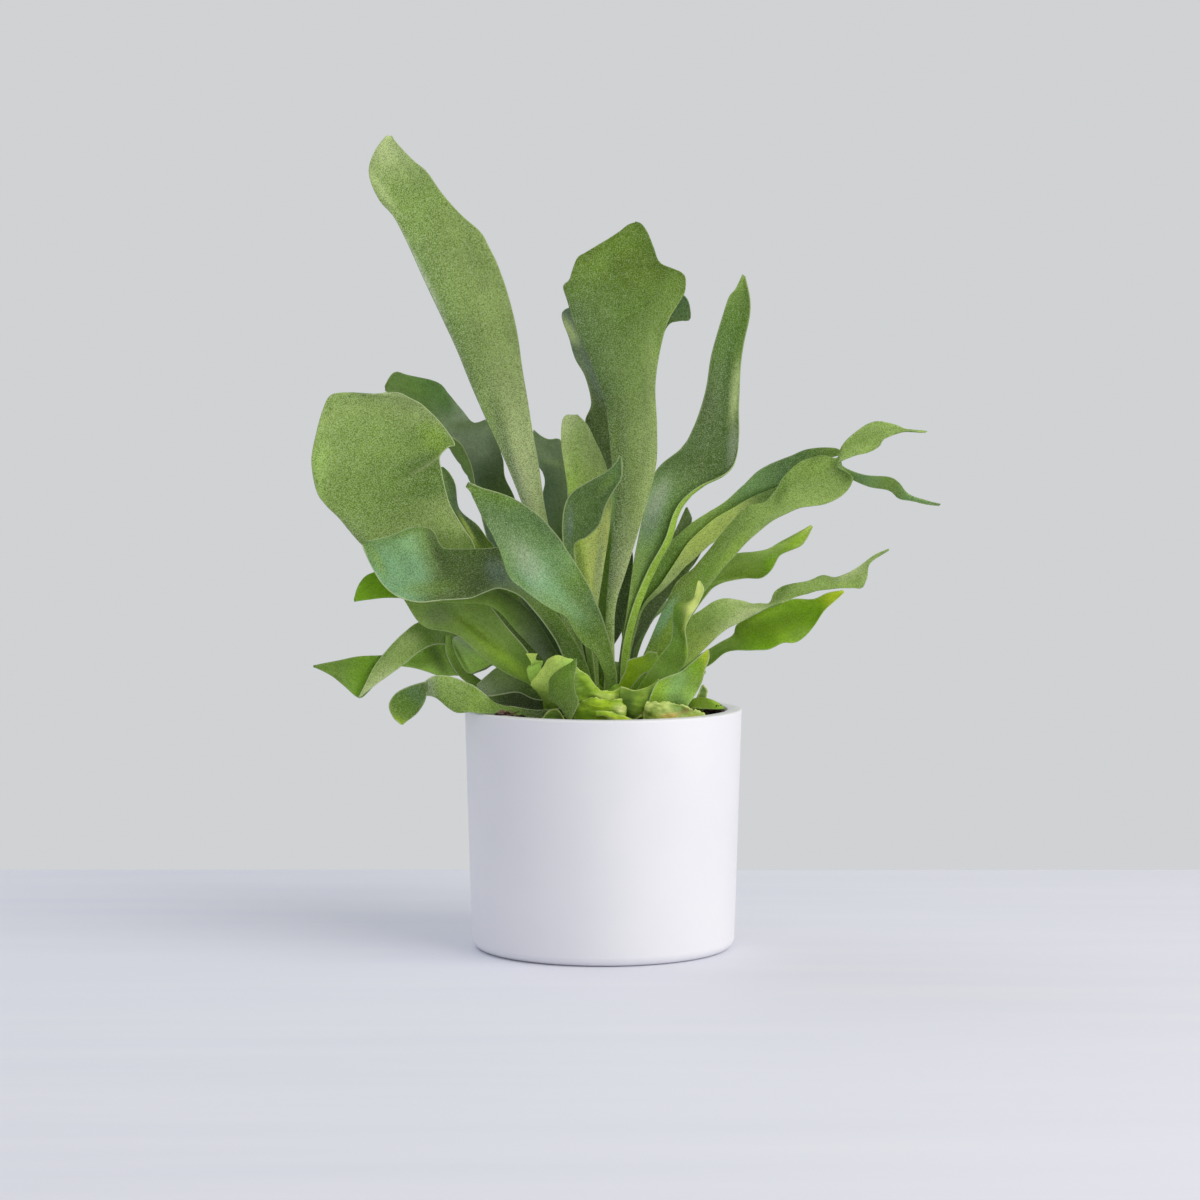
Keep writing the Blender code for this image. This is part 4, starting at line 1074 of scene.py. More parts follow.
# %% Crown: rings of shield plates
def plate_shape():
    """One shield plate, 1 mm wide and long, standing on its base and leaning back: a closed shell."""
    columns, rows = 8, 7
    thick = 0.06
    points = []
    for side in (1, -1):
        for i in range(rows + 1):
            t = i / rows
            for j in range(columns + 1):
                v = 2 * j / columns - 1
                tear = 1 + 0.05 * math.sin(5 * v + 2) + 0.03 * math.sin(13 * v)
                wide = math.sin(math.pi * (0.20 + 0.50 * t)) ** 0.6
                up = t * tear * (1 - 0.42 * v * v)
                back = 0.32 * t * t + 0.22 * wide * v * v
                points.append((v * wide / 2, back + side * thick / 2 * (1 - 0.7 * t), up))
    count = (rows + 1) * (columns + 1)
    wide = columns + 1
    faces = []
    for i in range(rows):
        for j in range(columns):
            a, b = i * wide + j, i * wide + j + 1
            faces.append((a, b, b + wide, a + wide))
            faces.append((count + a, count + a + wide, count + b + wide, count + b))
    rim = [j for j in range(wide)] + [i * wide + columns for i in range(1, rows + 1)]
    rim += [rows * wide + j for j in range(columns - 1, -1, -1)] + [i * wide for i in range(rows - 1, 0, -1)]
    for one, two in zip(rim, rim[1:] + rim[:1]):
        faces.append((one, count + one, count + two, two))
    made = outward(plain_object("plate", [tuple(c / MM for c in p) for p in points], faces))
    made.data.shade_smooth()
    return made


def plate_ring_tree():
    """A ring of copies of one shape round the crown's axis, each leaning outwards."""
    tree, start = new_group("Ring of shield plates", [
        ("Shape", "Object", None), ("Ring", "Float", 0.02), ("Height", "Float", 0.12), ("Count", "Int", 12),
        ("Lean", "Float", 0.5), ("Size", "Float", 0.015), ("Seed", "Int", 1), ("Finish", "Material", None)])
    middle = add(tree, "ShaderNodeCombineXYZ",
                 {"X": CROWN_MIDDLE[0] * MM, "Y": CROWN_MIDDLE[1] * MM, "Z": start["Height"]})
    ring = add(tree, "GeometryNodeMeshCircle", {"Vertices": start["Count"], "Radius": start["Ring"]})
    number = add(tree, "GeometryNodeInputIndex")
    part = add(tree, "ShaderNodeMath", {0: number, 1: start["Count"]}, operation="DIVIDE")
    jitter = add(tree, "FunctionNodeRandomValue", {2: -0.35, 3: 0.35, "Seed": start["Seed"]}, 1)
    around = add(tree, "ShaderNodeMath", {0: part, 1: math.tau}, operation="MULTIPLY")
    around = add(tree, "ShaderNodeMath", {0: around, 1: jitter}, operation="ADD")
    facing = add(tree, "ShaderNodeMath", {0: around, 1: math.pi / 2}, operation="ADD")
    tip = add(tree, "FunctionNodeRandomValue", {2: -0.3, 3: 0.3, "Seed": 7}, 1)
    lean = add(tree, "ShaderNodeMath", {0: start["Lean"], 1: tip}, operation="ADD")
    turn = add(tree, "ShaderNodeCombineXYZ", {"X": lean, "Z": facing})
    shift = add(tree, "FunctionNodeRandomValue",
                {0: (-0.002, -0.002, -0.001), 1: (0.002, 0.002, 0.002), "Seed": 3}, data_type="FLOAT_VECTOR")
    place = add(tree, "ShaderNodeVectorMath", {0: middle, 1: shift}, operation="ADD")
    moved = add(tree, "GeometryNodeSetPosition", {"Geometry": ring, "Offset": place})
    vary = add(tree, "FunctionNodeRandomValue", {2: 0.7, 3: 1.25, "Seed": start["Seed"]}, 1)
    size = add(tree, "ShaderNodeMath", {0: vary, 1: start["Size"]}, operation="MULTIPLY")
    return copy_to_points(tree, start, moved, turn, size, 2)


plate = plate_shape()
plates = plain_object("crown_plates", [], [])
PLATE_RINGS = plate_ring_tree()
for number, (radius, height, count, lean, size) in enumerate((
        (25, 112.5, 12, 0.65, 15), (20, 114, 10, 0.70, 15), (13, 116, 7, 0.70, 13))):
    run_group(plates, PLATE_RINGS, {"Shape": plate, "Ring": radius * MM, "Height": height * MM, "Count": count,
                                    "Lean": lean, "Size": size * MM, "Seed": number + 3, "Finish": SHIELD})
bpy.data.objects.remove(plate)
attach(plates, "root")
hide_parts("crown")
print("shield plates", len(plates.data.polygons), "faces")

# %% [markdown]
# In front the shield fronds are young and stand up as broad collars round the stalks' feet: a big one
# whose rim slopes down to the right, a thick fold under it, a bright lip by the rim of the pot, and a
# cup round the foot of the curled frond. They are blades too, thicker, and run from left to right,
# so the first margin is the rim and the second one the foot.

# %% Crown: collars in front
COLLAR_STEP = 0.9
COLLARS = {
    # the collars' marks paint shade down their creases (olive, leaf, shade with a sinking lift) and highlights
    # on their bulges (cream, crown, lime)
    "collar": dict(
        left=[(-15, 142), (-12, 139.5), (-8, 136.5), (-5, 132.5), (-1.6, 128.8), (4, 128.4), (6.5, 129.2),
            (9.5, 131)],
        right=[(-15, 117), (-10, 119), (-5, 119.5), (0, 119.5), (5, 119), (10, 118)],
        depth=[-41, -42, -43, -43, -41], tilt=[-3, -5, -6, -5, -3], hollow=-0.05, waves=2, crumple=(0.5, 9.0),
        thick=1.1, blunt=True,
        front="grass/leaf lime/vivid lime crown/lime lime/crown", back="lime crown",
        marks=[(-5, 124.6, 9, 1.3, -18, -1.4, "olive", 1.0), (-10, 130, 6, 2, -40, -0.8, "leaf", 0.6),
            (2, 126, 6, 1.4, -5, 0.8, "cream", 0.25)]),
    "fold": dict(
        left=[(-15, 120), (-11, 122.6), (-6, 124.8), (0, 124.2), (4, 124), (7.5, 124.6), (9.3, 121.5),
            (8.6, 119)],
        right=[(-14, 110), (-8, 109.5), (0, 109.5), (6, 111), (10, 114), (9.8, 117.6)],
        depth=[-45, -47, -48.5, -48.5, -46], tilt=[-2, -4, -5, -4, -2], hollow=-0.1, ripple=0.9, waves=3,
        crumple=(1.3, 4.4), thick=1.2,
        front="leaf/shade lime/vivid crown/moss lime/vivid lime/moss", back="lime crown",
        marks=[(2, 121.5, 9, 1.3, -8, 1.0, "crown", 0.8), (8.3, 119.5, 2, 3, 80, 0.3, "cream", 0.7),
            (-9, 116, 6, 3, 0, 0, "vivid", 0.6), (-2, 118.6, 9, 0.8, -10, -0.9, "olive", 0.5),
            (4, 117, 5, 0.8, 14, -0.7, "vivid", 0.6), (-8, 121.5, 4, 1.0, 35, 0.7, "lime", 0.6)]),
    "lip": dict(
        left=[(-4, 118.5), (0, 118.8), (5, 117.2), (10, 115.8), (15, 114.2)],
        right=[(-4, 116), (0, 115.8), (5, 114), (10, 112.8), (15, 112)],
        depth=[-52, -52.5, -53, -53], tilt=[0, -1, -1, 0], hollow=-0.2, ripple=0.4, waves=2, crumple=(0.7, 4.0),
        thick=1.2, blunt=True,
        front="vivid/lime crown/lime crown/yellow lime/yellow", back="lime crown"),
    "cup": dict(
        left=[(8.5, 130.8), (11, 130.4), (15.8, 128.9), (21, 130.1), (24.5, 131.8), (28, 134.5)],
        right=[(9.2, 122), (12, 117), (15, 114), (19, 116.5), (23, 124), (27.6, 133)],
        depth=[-43, -46, -47, -46, -43], tilt=[-1, -3, -4, -3, -1], hollow=-0.12, ripple=0.3, thick=1.2,
        blunt=True,
        front="grass/olive leaf/shade grass/olive grass/leaf grass", back="lime crown",
        marks=[(12, 120, 5, 2.5, 60, -0.3, "shade", 0.7), (18, 124, 6, 2.5, 60, 0.4, "lime", 0.5)]),
    "dark_tip": dict(
        left=[(19.5, 117), (22.5, 121), (26, 118.6), (28.8, 113.6)],
        right=[(20, 113.6), (23, 113), (26, 112.8), (28.6, 112.6)],
        depth=[-48, -50, -50], tilt=[0, -1, 0], ripple=0.2, blunt=True,
        front="bay bay leaf", back="leaf"),
    "right_tip": dict(
        left=[(45, 118), (46.5, 124), (48, 128), (49.6, 131.8)],
        right=[(50, 118), (51.5, 124.5), (52.4, 128.6), (50.4, 131.4)],
        depth=[-22, -22, -22], tilt=[0, 1, 0], ripple=0.2, blunt=True,
        front="leaf basil kelp", back="leaf"),
    "left_tip": dict(
        left=[(-31.5, 113.8), (-27.6, 118.7), (-23, 119.4), (-19.5, 114.4)],
        right=[(-31, 112.6), (-27, 112), (-23, 112), (-20, 112.6)],
        depth=[-50, -52, -52], tilt=[0, -1, 0], ripple=0.2, blunt=True,
        front="basil leaf shade", back="leaf"),
}
for name, collar in COLLARS.items():
    piece = leaf_mesh("crown_" + name, dict(collar, step=COLLAR_STEP))
    piece.data.materials.append(COLLAR)
    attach(piece, "root")
    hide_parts("crown")
print(len(COLLARS), "collars")

# %% [markdown]
# ## The fronds, one by one
#
# Each frond has its two margins from base to tip as (x, z), then the depth of its midline and the
# tilt between its margins at even steps, how deep it is dished, and its waves. front and back name
# its greens from base to tip on the face towards the viewer and on the other one; "leaf/tip" is leaf
# at the left margin and tip at the right. These greens hold painted light and shade besides the
# frond's own colour: a stretch or side in the light gets a paler green, one in shade a darker one.
# felt says how hairy it is, rim how pale each margin is, partly its own pale edge and partly painted
# light. A fold turns one margin over by so many millimetres, and a fork is a second blade that parts
# from it.

# %% Fronds that the photograph shows
FRONDS = {
    # marks with a pale green and a rising lift paint highlights; marks with a dark green and a sinking lift
    # paint shade down creases
    "tall_left": dict(
        left=[(-12, 126), (-18, 155), (-30, 190), (-41, 224), (-51, 248), (-60, 268), (-73, 300), (-87.5, 330),
            (-96.5, 350), (-104, 365), (-111, 373), (-115.5, 382), (-116.5, 390), (-113, 399), (-107.5, 406)],
        right=[(-5, 126), (-12, 158), (-20, 190), (-28, 214), (-32, 240), (-39, 283), (-45, 317), (-52, 340),
            (-57, 351), (-61, 358), (-70, 366), (-80, 377), (-88, 388), (-94, 393), (-101, 400), (-106, 405.5)],
        depth=[7, 10, 17, 25, 31, 34, 32, 26], tilt=[2, 3, 4, 6, 8, 6, 4, 2], ripple=1.2, waves=3,
        front="basil basil/felt basil/stalk grey/tip leaf/tip bay/stalk bay/stalk basil/felt tip",
        back="basil wool tip", rim=(0.2, 0.6), felt=1.0,
        marks=[(-41, 246, 28, 3.4, 105, 0.6, "tip", 0.6), (-27, 200, 22, 2.6, 108, 0.5, "tip", 0.6),
            (-50, 254, 30, 2.4, 105, -0.4, "pine", 0.6), (-111, 378, 13, 2.8, 125, 0.8, "tip", 0.5),
            (-62, 350, 16, 6, 118, 0.8, "leaf", 0.4), (-108, 399, 8, 6, 100, 0, "tip", 0.7),
            (-72, 296, 30, 2.6, 114, -0.6, "grey", 0.5), (-52, 300, 30, 4, 112, 0.6, "stalk", 0.4),
            (-93, 341, 28, 2, 117, 0, "silver", 0.8)]),
    "tall_centre": dict(
        left=[(0, 126), (1, 160), (1.6, 174), (3.4, 196), (4.6, 210), (5.8, 226), (3.5, 250), (1, 270),
            (-5, 290), (-13.5, 310), (-18, 324), (-20, 331), (-17, 334), (-15.5, 339), (-13, 345.5),
            (-9, 348.3), (0, 353.5), (8, 358.5), (12, 361.5), (15, 362.6)],
        right=[(6, 126), (5.5, 160), (6.8, 174), (10.2, 185), (13.7, 196), (20, 217), (26, 240), (26.8, 260),
            (26.2, 280), (28, 297), (32, 313), (37, 322), (40.5, 328), (41, 335), (39, 338), (34, 340.3),
            (28, 343), (25, 350), (22, 357.5), (19, 361.8), (16, 362.6)],
        depth=[-4, -4, -5, -6, -9, -12, -15, -14, -9], tilt=[0, 0, -1, -2, -4, -5, -5, -3, 0], hollow=0.08,
        ripple=1.4, waves=3,
        front="stalk leaf/stalk pine/tip pine/stalk pine/stalk pine/felt pine/wool olive olive/leaf",
        back="kelp kelp sea", felt=[1, 1, 0.9, 0.7, 0.6, 0.6],
        marks=[(24, 275, 30, 2.6, 90, 0.6, "stalk", 0.8), (15, 320, 16, 7, 40, -1.0, "bay", 0.5),
            (33, 331, 8, 5, 60, 0.8, "plush", 0.5), (6, 250, 26, 2.4, 90, -0.5, "olive", 0.4),
            (15, 262, 30, 3, 90, 0.4, "wool", 0.4), (-8, 338, 12, 6, 50, 0.8, "leaf", 0.5),
            (6, 330, 26, 3, 100, -0.6, "bay", 0.5), (19, 226, 20, 3, 78, 0.6, "stalk", 0.6)]),
    "upright_right": dict(
        left=[(5, 126), (8, 150), (11, 168), (14, 190), (18, 212), (25, 238), (38, 250), (44, 258), (50, 275),
            (54, 297), (60, 317), (63, 326), (66, 329.5), (69.5, 337)],
        right=[(11, 126), (13, 150), (18, 170), (26, 189), (34, 204), (38, 217), (42, 224), (50, 231),
            (61, 237), (66, 244), (67.5, 257), (68, 277), (70, 300), (73, 315), (73, 325), (70.5, 336)],
        depth=[4, 4, 5, 7, 10, 13, 15, 14], tilt=[1, 2, 4, 6, 7, 5, 3, 1], hollow=0.16, ripple=1.0, waves=3,
        front="leaf wool basil/sea sea/bay pine deep/pine ivy/bay basil", back="lime", rim=(0.2, 0.6), felt=0.6,
        fold=dict(side="right", widths=[4, 5, 5.5, 5.5, 5, 4, 2, 0, 0, 0, 0, 0], front=1.6),
        marks=[(24, 216, 14, 5, 70, 0, "slate", 0.7), (27, 226, 11, 4.5, 62, 0, "silver", 0.5),
            (64.5, 250, 11, 2.6, 84, 0.8, "silver", 0.6), (50, 243, 16, 8, 20, -0.8, "shade", 0.6),
            (65.5, 277, 16, 2.2, 85, 0.6, "tip", 0.7), (61, 292, 16, 3, 76, -0.6, "pine", 0.7)],
        fork=dict(
            left=[(33.4, 204), (37, 211), (41.4, 221)],
            right=[(44.2, 213), (44.3, 216), (42.2, 220.6)],
            depth=[17, 17, 16], tilt=[0, 0, 0], hollow=0.06, ripple=0.2,
            front="deep shade", back="shade pine", felt=0.3)),
    "forked_right": dict(
        left=[(10, 126), (17, 140), (21.5, 150), (27, 162.5), (36, 182), (46, 191), (56, 204), (64, 214),
            (72, 221), (81, 223), (86, 229), (90, 236), (98, 243.5), (104, 246), (110, 247), (117, 245.5),
            (120, 251.5), (126.6, 258.6), (132, 262.4), (138, 263.9), (146, 262.3), (152, 260), (162, 259)],
        right=[(19, 126), (28, 142), (42, 164), (52, 180), (66, 197), (80, 210), (97, 220), (112, 223),
            (121, 228), (125, 235), (121, 239), (117, 242), (125, 246.5), (133, 248.6), (138, 251.5),
            (140, 254.7), (146, 257.3), (152, 258.6), (161, 258)],
        depth=[-7, -6, -3, 0, 4, 7, 8, 6, 3], tilt=[0, -3, -7, -8, -8, -7, -5, -2, 0], hollow=0.08, ripple=1.2,
        waves=4,
        front="lime leaf/lime olive/felt leaf/felt wool/felt basil/felt felt felt", back="kelp kelp basil",
        felt=0.6,
        marks=[(64, 198, 16, 3, 52, 0.8, "lime", 0.6), (50, 186, 14, 4, 55, 0, "vivid", 0.6),
            (31, 166, 11, 2.6, 60, 0.7, "sky", 0.8), (36, 160, 12, 3.5, 60, -0.2, "lime", 0.7),
            (88, 229, 8, 3.5, 60, -1.0, "bay", 0.8), (97, 216, 14, 5, 28, 0.8, "felt", 0.7),
            (105, 240, 12, 4, 20, 0.6, "grass", 0.5), (122, 236, 5, 3, 60, -0.6, "bay", 0.5),
            (130, 255, 8, 3, 15, -0.5, "basil", 0.6)],
        fork=dict(
            left=[(118, 243), (122, 240), (131, 237), (143, 236), (148, 233), (153, 227), (162, 224),
                (169, 222.5)],
            right=[(117, 240), (122, 236), (133, 231), (143, 229), (148, 225), (155, 224), (168, 221.5)],
            depth=[8, 8, 7, 9, 12], tilt=[2, 3, 4, 2, 0], hollow=0.05,
            front="basil sea basil sea kelp", back="kelp leaf")),
    "right_behind_fork": dict(
        left=[(9, 127), (11, 146), (14, 164), (17, 174), (24, 190), (33, 204), (43, 213), (58, 222), (69, 232),
            (77, 240), (90, 246), (104, 250), (115, 250.5), (119, 249)],
        right=[(11, 127), (12.5, 146), (16, 161), (20, 171.5), (30.7, 180.7), (40.7, 190.7), (48, 197.5),
            (60, 207), (75, 218), (88, 228), (100, 237), (112, 245), (119, 247)],
        depth=[5, 13, 19, 23, 26, 27, 26], tilt=[0, 3, 6, 8, 8, 5, 1], hollow=0.06, ripple=0.8, waves=3,
        front="deep deep bay bay wool sea kelp basil", back="basil basil basil stalk pale pale bay bay bay",
        felt=0.6,
        fold=dict(side="right", widths=[1, 2, 3, 4, 7, 11, 13, 10, 4, 0, 0], front=1.6),
        fork=dict(
            left=[(9.5, 128), (10.5, 142), (13, 157), (17, 166), (22, 173), (31, 181), (41, 191), (47.5, 198)],
            right=[(11.5, 128), (13, 146), (19.4, 157.3), (25.5, 166), (30.5, 174.5), (37, 182.5), (45, 191.5),
                (49, 198)],
            depth=[9, 17, 24, 29, 32, 33], tilt=[0, 1, 2, 2, 1, 0], hollow=0.06, ripple=0.3,
            front="deep shade deep deep", back="deep shade", felt=0.2)),
    "right_short": dict(
        left=[(16, 127), (28, 152), (45, 175), (58, 192), (66, 197.5), (75, 198.5), (83, 200), (91, 204.5),
            (98, 208.5), (104, 212)],
        right=[(21, 127), (36, 152), (50, 175), (57, 182), (70, 185), (79, 185), (84, 189), (88, 196),
            (92, 198.5), (98, 201), (101, 204), (105, 211)],
        depth=[1, 7, 12, 14, 15, 16], tilt=[0, 2, 3, 4, 3, 0], hollow=0.06, ripple=0.8, waves=2,
        front="basil basil leaf basil/leaf wool/olive felt/leaf pale", back="grass grass lime", rim=(0.3, 0.5),
        felt=0.15,
        marks=[(84, 192, 5, 4, 70, 0.8, "vivid", 0.9), (97, 204, 8, 2.2, 35, 0.4, "lime", 0.9),
            (93, 206, 8, 1.3, 30, -0.3, "basil", 0.8), (62, 184, 9, 1.2, 10, 0, "felt", 0.7)]),
    "right_long": dict(
        left=[(15, 127), (28, 146), (41, 163), (50, 170), (56, 174), (62, 175.5), (70, 174), (77, 172),
            (83, 172), (86, 178), (91, 182.5), (101, 184), (110, 186.5), (117, 185.5), (126, 190), (135, 197),
            (143, 200)],
        right=[(22, 125), (34, 136), (41, 141), (49, 148), (60, 158.5), (68, 163), (82, 170), (97, 176.5),
            (110, 179), (124, 180.5), (129.5, 180.5), (131.5, 185), (133, 192), (138, 196), (143, 199)],
        depth=[-12, -17, -24, -29, -32, -35, -39, -42], tilt=[0, -3, -5, -6, -6, -5, -3, -1], hollow=0.08,
        ripple=1.3, waves=4,
        front="lime felt/dew grass/pale felt/tip tip wool/grass felt tip/felt felt", back="leaf basil",
        marks=[(89, 178.5, 8, 2.4, 48, -0.8, "bay", 0.8), (55, 164, 12, 6, 35, 0.8, "grass", 0.6),
            (62, 168, 14, 3, 30, 0.6, "felt", 0.5), (100, 180, 12, 3, 15, 0.6, "felt", 0.6),
            (126, 184, 4, 4, 60, 0.4, "grass", 0.6), (76, 171.5, 8, 1.8, 0, -0.4, "basil", 0.6)]),
    "yellow_tip": dict(
        left=[(14, 126), (30, 138), (46, 146), (58, 153), (65, 157), (67, 162), (74, 166), (84, 171), (95, 175),
            (105, 175), (112, 178), (120, 179.4)],
        right=[(19, 124), (34, 132), (52, 141), (62, 148), (75, 149), (83, 149.5), (90, 153), (96, 153),
            (101, 156), (106, 162), (111, 169), (116, 173.6), (121, 178)],
        depth=[-9, -12, -15, -17, -19, -22, -26], tilt=[0, -2, -6, -8, -8, -5, -1], ripple=0.8, waves=2,
        front="basil basil felt/basil wool/leaf olive/vivid vivid/lime lime/vivid yellow",
        back="leaf vivid yellow", rim=(0.6, 0.2), felt=0.12,
        marks=[(98, 157, 6, 3, 30, 0.8, "grass", 0.9), (88, 162, 12, 5, 30, 0, "olive", 0.5),
            (84, 168, 12, 2.4, 25, 0.4, "lime", 0.7), (103, 169, 7, 5, 50, 0.4, "vivid", 0.6),
            (116, 176, 5, 3, 40, 0, "yellow", 0.9)]),
    "curled_right": dict(
        left=[(12, 119), (20, 134), (28, 146), (33, 152), (34.5, 158), (34.5, 166), (36, 173), (44, 174.5),
            (46, 178), (47.5, 184)],
        right=[(18, 117), (28, 131), (38, 138), (42.5, 146), (42, 153), (41, 160), (44, 166.5), (48, 172),
            (51, 179), (49, 184)],
        depth=[-29, -34, -40, -42, -38, -33, -32], tilt=[0, 4, 6, 3, -4, -6, -1], hollow=0.14,
        front="lime lime wool/dew bay/basil ivy/bay ivy/bay bay/cream cream", back="lime lime pale",
        rim=(0.2, 0.5), felt=0.2,
        marks=[(49, 180, 5, 3, 80, 0.6, "cream", 1.0), (46.5, 172, 7, 2.6, 55, 0.5, "cream", 1.0),
            (42, 163, 5, 1.3, 70, 0, "pale", 0.8), (38, 152, 7, 4, 80, -0.8, "bay", 0.5),
            (42, 147, 6, 1.0, 95, 0.3, "lime", 0.8)]),
    "shield_right": dict(
        left=[(23, 108), (22, 121), (26, 132), (30, 135), (38.5, 138), (44, 142.5), (52.5, 150)],
        right=[(39, 108), (42, 120), (46, 126), (49.5, 133), (51, 139), (53, 145), (53, 149)],
        depth=[-44, -46, -49, -51, -53], tilt=[4, 4, 2, 0, 0],
        front="lime/sea lime/dew lime/dew grass vivid/lime yellow", back="vivid lime", rim=(0.7, 0.6),
        felt=0.34,
        marks=[(37, 132, 9, 4.5, 68, -0.3, "mist", 0.45), (38, 122, 6, 5, 90, 0, "sea", 0.7),
            (25, 128, 8, 2.5, 60, 0.8, "lime", 0.8), (52, 141, 9, 1.3, 84, 0, "yellow", 0.9),
            (36, 143, 9, 1.0, 33, 0.3, "pale", 0.7)]),
    "rim_right": dict(
        left=[(38, 108), (42, 121), (44, 124.2), (49.2, 125.6), (55.6, 123.9), (60.7, 120.2)],
        right=[(43, 108), (44.5, 119.4), (50, 119.6), (56, 119.3), (60.7, 119.4)],
        depth=[-28, -29, -26, -20], tilt=[-2, -5, -5, -1], hollow=0.05, ripple=0.4,
        front="leaf olive olive vivid", back="vivid leaf", felt=0.1,
        marks=[(57, 122, 5, 1.1, -35, 0.3, "lime", 0.9)]),
    "small_olive": dict(
        left=[(5, 127), (11.5, 140), (12, 144), (20, 146.5), (22, 148.5), (27, 148)],
        right=[(12, 127), (17, 134), (20, 137), (25, 139.5), (28, 145)],
        depth=[-20, -22, -24, -26, -27], tilt=[0, -3, -4, -3, 0], hollow=0.08, ripple=0.5,
        front="moss moss moss/lime wool", back="lime", rim=(1.0, 1.0), felt=0.1,
        marks=[(24, 140, 6, 1.0, 60, 0.2, "lime", 0.8)]),
    "front_teal": dict(
        left=[(0, 126), (1, 134), (-4, 147), (-10, 152), (-15, 159), (-19, 166), (-25, 169), (-33, 174),
            (-40, 180), (-46, 185), (-50, 193), (-54, 203), (-61, 217), (-66, 228), (-69, 231)],
        right=[(7, 126), (6.5, 139), (2, 158), (-4, 174), (-10, 187), (-20, 202), (-27, 211), (-35, 219),
            (-46, 226), (-59, 230), (-68, 233)],
        depth=[-14, -19, -27, -34, -40, -44, -47, -50], tilt=[1, 2, 4, 8, 10, 8, 4, 1], hollow=0.09, ripple=1.2,
        waves=3,
        front="basil basil leaf leaf/kelp sea/bay sky/sea sea/kelp kelp kelp/bay leaf", back="basil grass",
        rim=(0.12, 0.45), felt=0.6,
        marks=[(-38, 193, 14, 6, -55, 0.8, "silver", 0.5), (-22, 194, 12, 5, -55, 0.6, "sea", 0.5),
            (-26, 180, 10, 5, -45, 0, "sky", 0.5), (-14, 167, 10, 4, -50, 0.5, "sky", 0.4),
            (-42, 183, 9, 2.4, -40, -0.8, "bay", 0.7), (-30, 206, 12, 4, -50, -0.6, "kelp", 0.4),
            (-52, 212, 12, 5, -60, 0, "kelp", 0.5), (-47, 224, 10, 3.5, -20, 0.4, "bay", 0.6),
            (-8, 158, 9, 3, -55, -0.5, "bay", 0.5)]),
    "left_level": dict(
        left=[(-10, 125), (-18, 140), (-24, 154), (-33, 167), (-42, 176), (-52, 180), (-60, 178), (-67, 175.5),
            (-80, 174.5), (-90, 173), (-98, 174), (-105, 177), (-112, 184), (-118, 195), (-121, 202)],
        right=[(-4, 127), (-9, 144), (-18, 160), (-27, 172), (-38, 186), (-50, 200), (-60, 200), (-77, 200),
            (-81, 202), (-84, 208), (-88, 211), (-96, 211), (-106, 207), (-119, 203.5)],
        depth=[-10, -14, -20, -24, -27, -30, -32], tilt=[0, 2, 6, 9, 10, 6, 1], hollow=0.08, ripple=1.2,
        waves=3,
        front="vivid leaf shade/leaf basil dusk/slate shade/deep shade/bay sky/basil sky/sea sea", back="grass",
        rim=(1.0, 0.35), felt=0.6,
        marks=[(-98, 202, 10, 5.5, -72, 1.4, "mist", 0.6), (-94, 190, 9, 5, -60, 1.2, "sky", 0.7),
            (-83, 198, 14, 3.4, -68, -2.6, "shade", 0.9), (-72, 192, 14, 8, -10, -0.6, "shade", 0.8),
            (-53, 188, 8, 5, -60, 0.5, "slate", 0.9), (-104, 190, 10, 5, -60, 0.8, "sky", 0.5),
            (-88, 180, 14, 3.5, 5, 0.8, "basil", 0.6), (-113, 193, 9, 2.5, -62, 0, "grass", 0.6),
            (-99, 208, 8, 1.6, 18, -0.5, "leaf", 0.8)]),
    "left_fan": dict(
        left=[(-26, 121), (-36, 131), (-48, 137), (-60, 145), (-74, 157), (-90, 161), (-99, 173), (-108, 190),
            (-122, 203), (-132, 215), (-139, 222), (-144, 230), (-146, 245), (-143, 259), (-140, 270),
            (-136, 277), (-128, 278), (-118, 277), (-108, 278)],
        right=[(-22, 127), (-34, 141), (-39, 150), (-50, 163), (-60, 178), (-64, 200), (-69, 209), (-76, 221),
            (-79, 230), (-81, 240), (-81.5, 246), (-77, 251), (-74, 252), (-78, 259), (-84, 266), (-92, 273),
            (-100, 277.5), (-104, 278.5)],
        depth=[-18, -17, -14, -9, -6, -3, 0, 2, 1], tilt=[0, 1, 3, 4, 4, 2, 0, -1, 0], hollow=0.07, ripple=1.6,
        waves=4,
        front="basil leaf/bay wool felt/wool basil/wool basil/stalk wool/leaf felt/plush felt/stalk tip",
        back="basil sea", rim=(0.3, 0.9), felt=[0.1, 0.1, 0.15, 0.4, 1.0, 1.0, 1.0, 1.0, 1.0],
        marks=[(-84, 254, 10, 6, -50, 0.8, "lime", 0.8), (-90, 240.5, 12, 0.8, 35, 1.0, "tip", 0.6),
            (-92, 244, 13, 2.4, 35, -1.4, "basil", 0.6), (-100, 238, 14, 4, 28, -0.8, "bay", 0.45),
            (-142, 241, 15, 3.5, 88, 0.6, "dew", 0.5), (-129, 209, 13, 3.5, -45, -0.5, "grey", 0.6),
            (-78, 207, 10, 7, -60, 0.8, "felt", 0.8), (-90, 230, 10, 5, 20, 0.8, "leaf", 0.5),
            (-112, 228, 22, 5, 12, 1.4, "plush", 0.4), (-110, 214, 20, 5, 10, -1.2, "basil", 0.5),
            (-120, 262, 14, 8, 30, 1.0, "wool", 0.4), (-82, 168, 9, 6, 20, 0.8, "grey", 0.5),
            (-54, 149, 26, 3.6, -42, 0.1, "lime", 0.8), (-82, 166, 8, 5, 0, 0.3, "dusk", 0.7),
            (-66, 160, 18, 2.0, -38, -0.8, "olive", 0.7)]),
    "left_behind_level": dict(
        left=[(-16, 127), (-30, 144), (-43, 158), (-56, 171), (-78, 173), (-104, 175.5), (-118, 174.5),
            (-125, 173.5)],
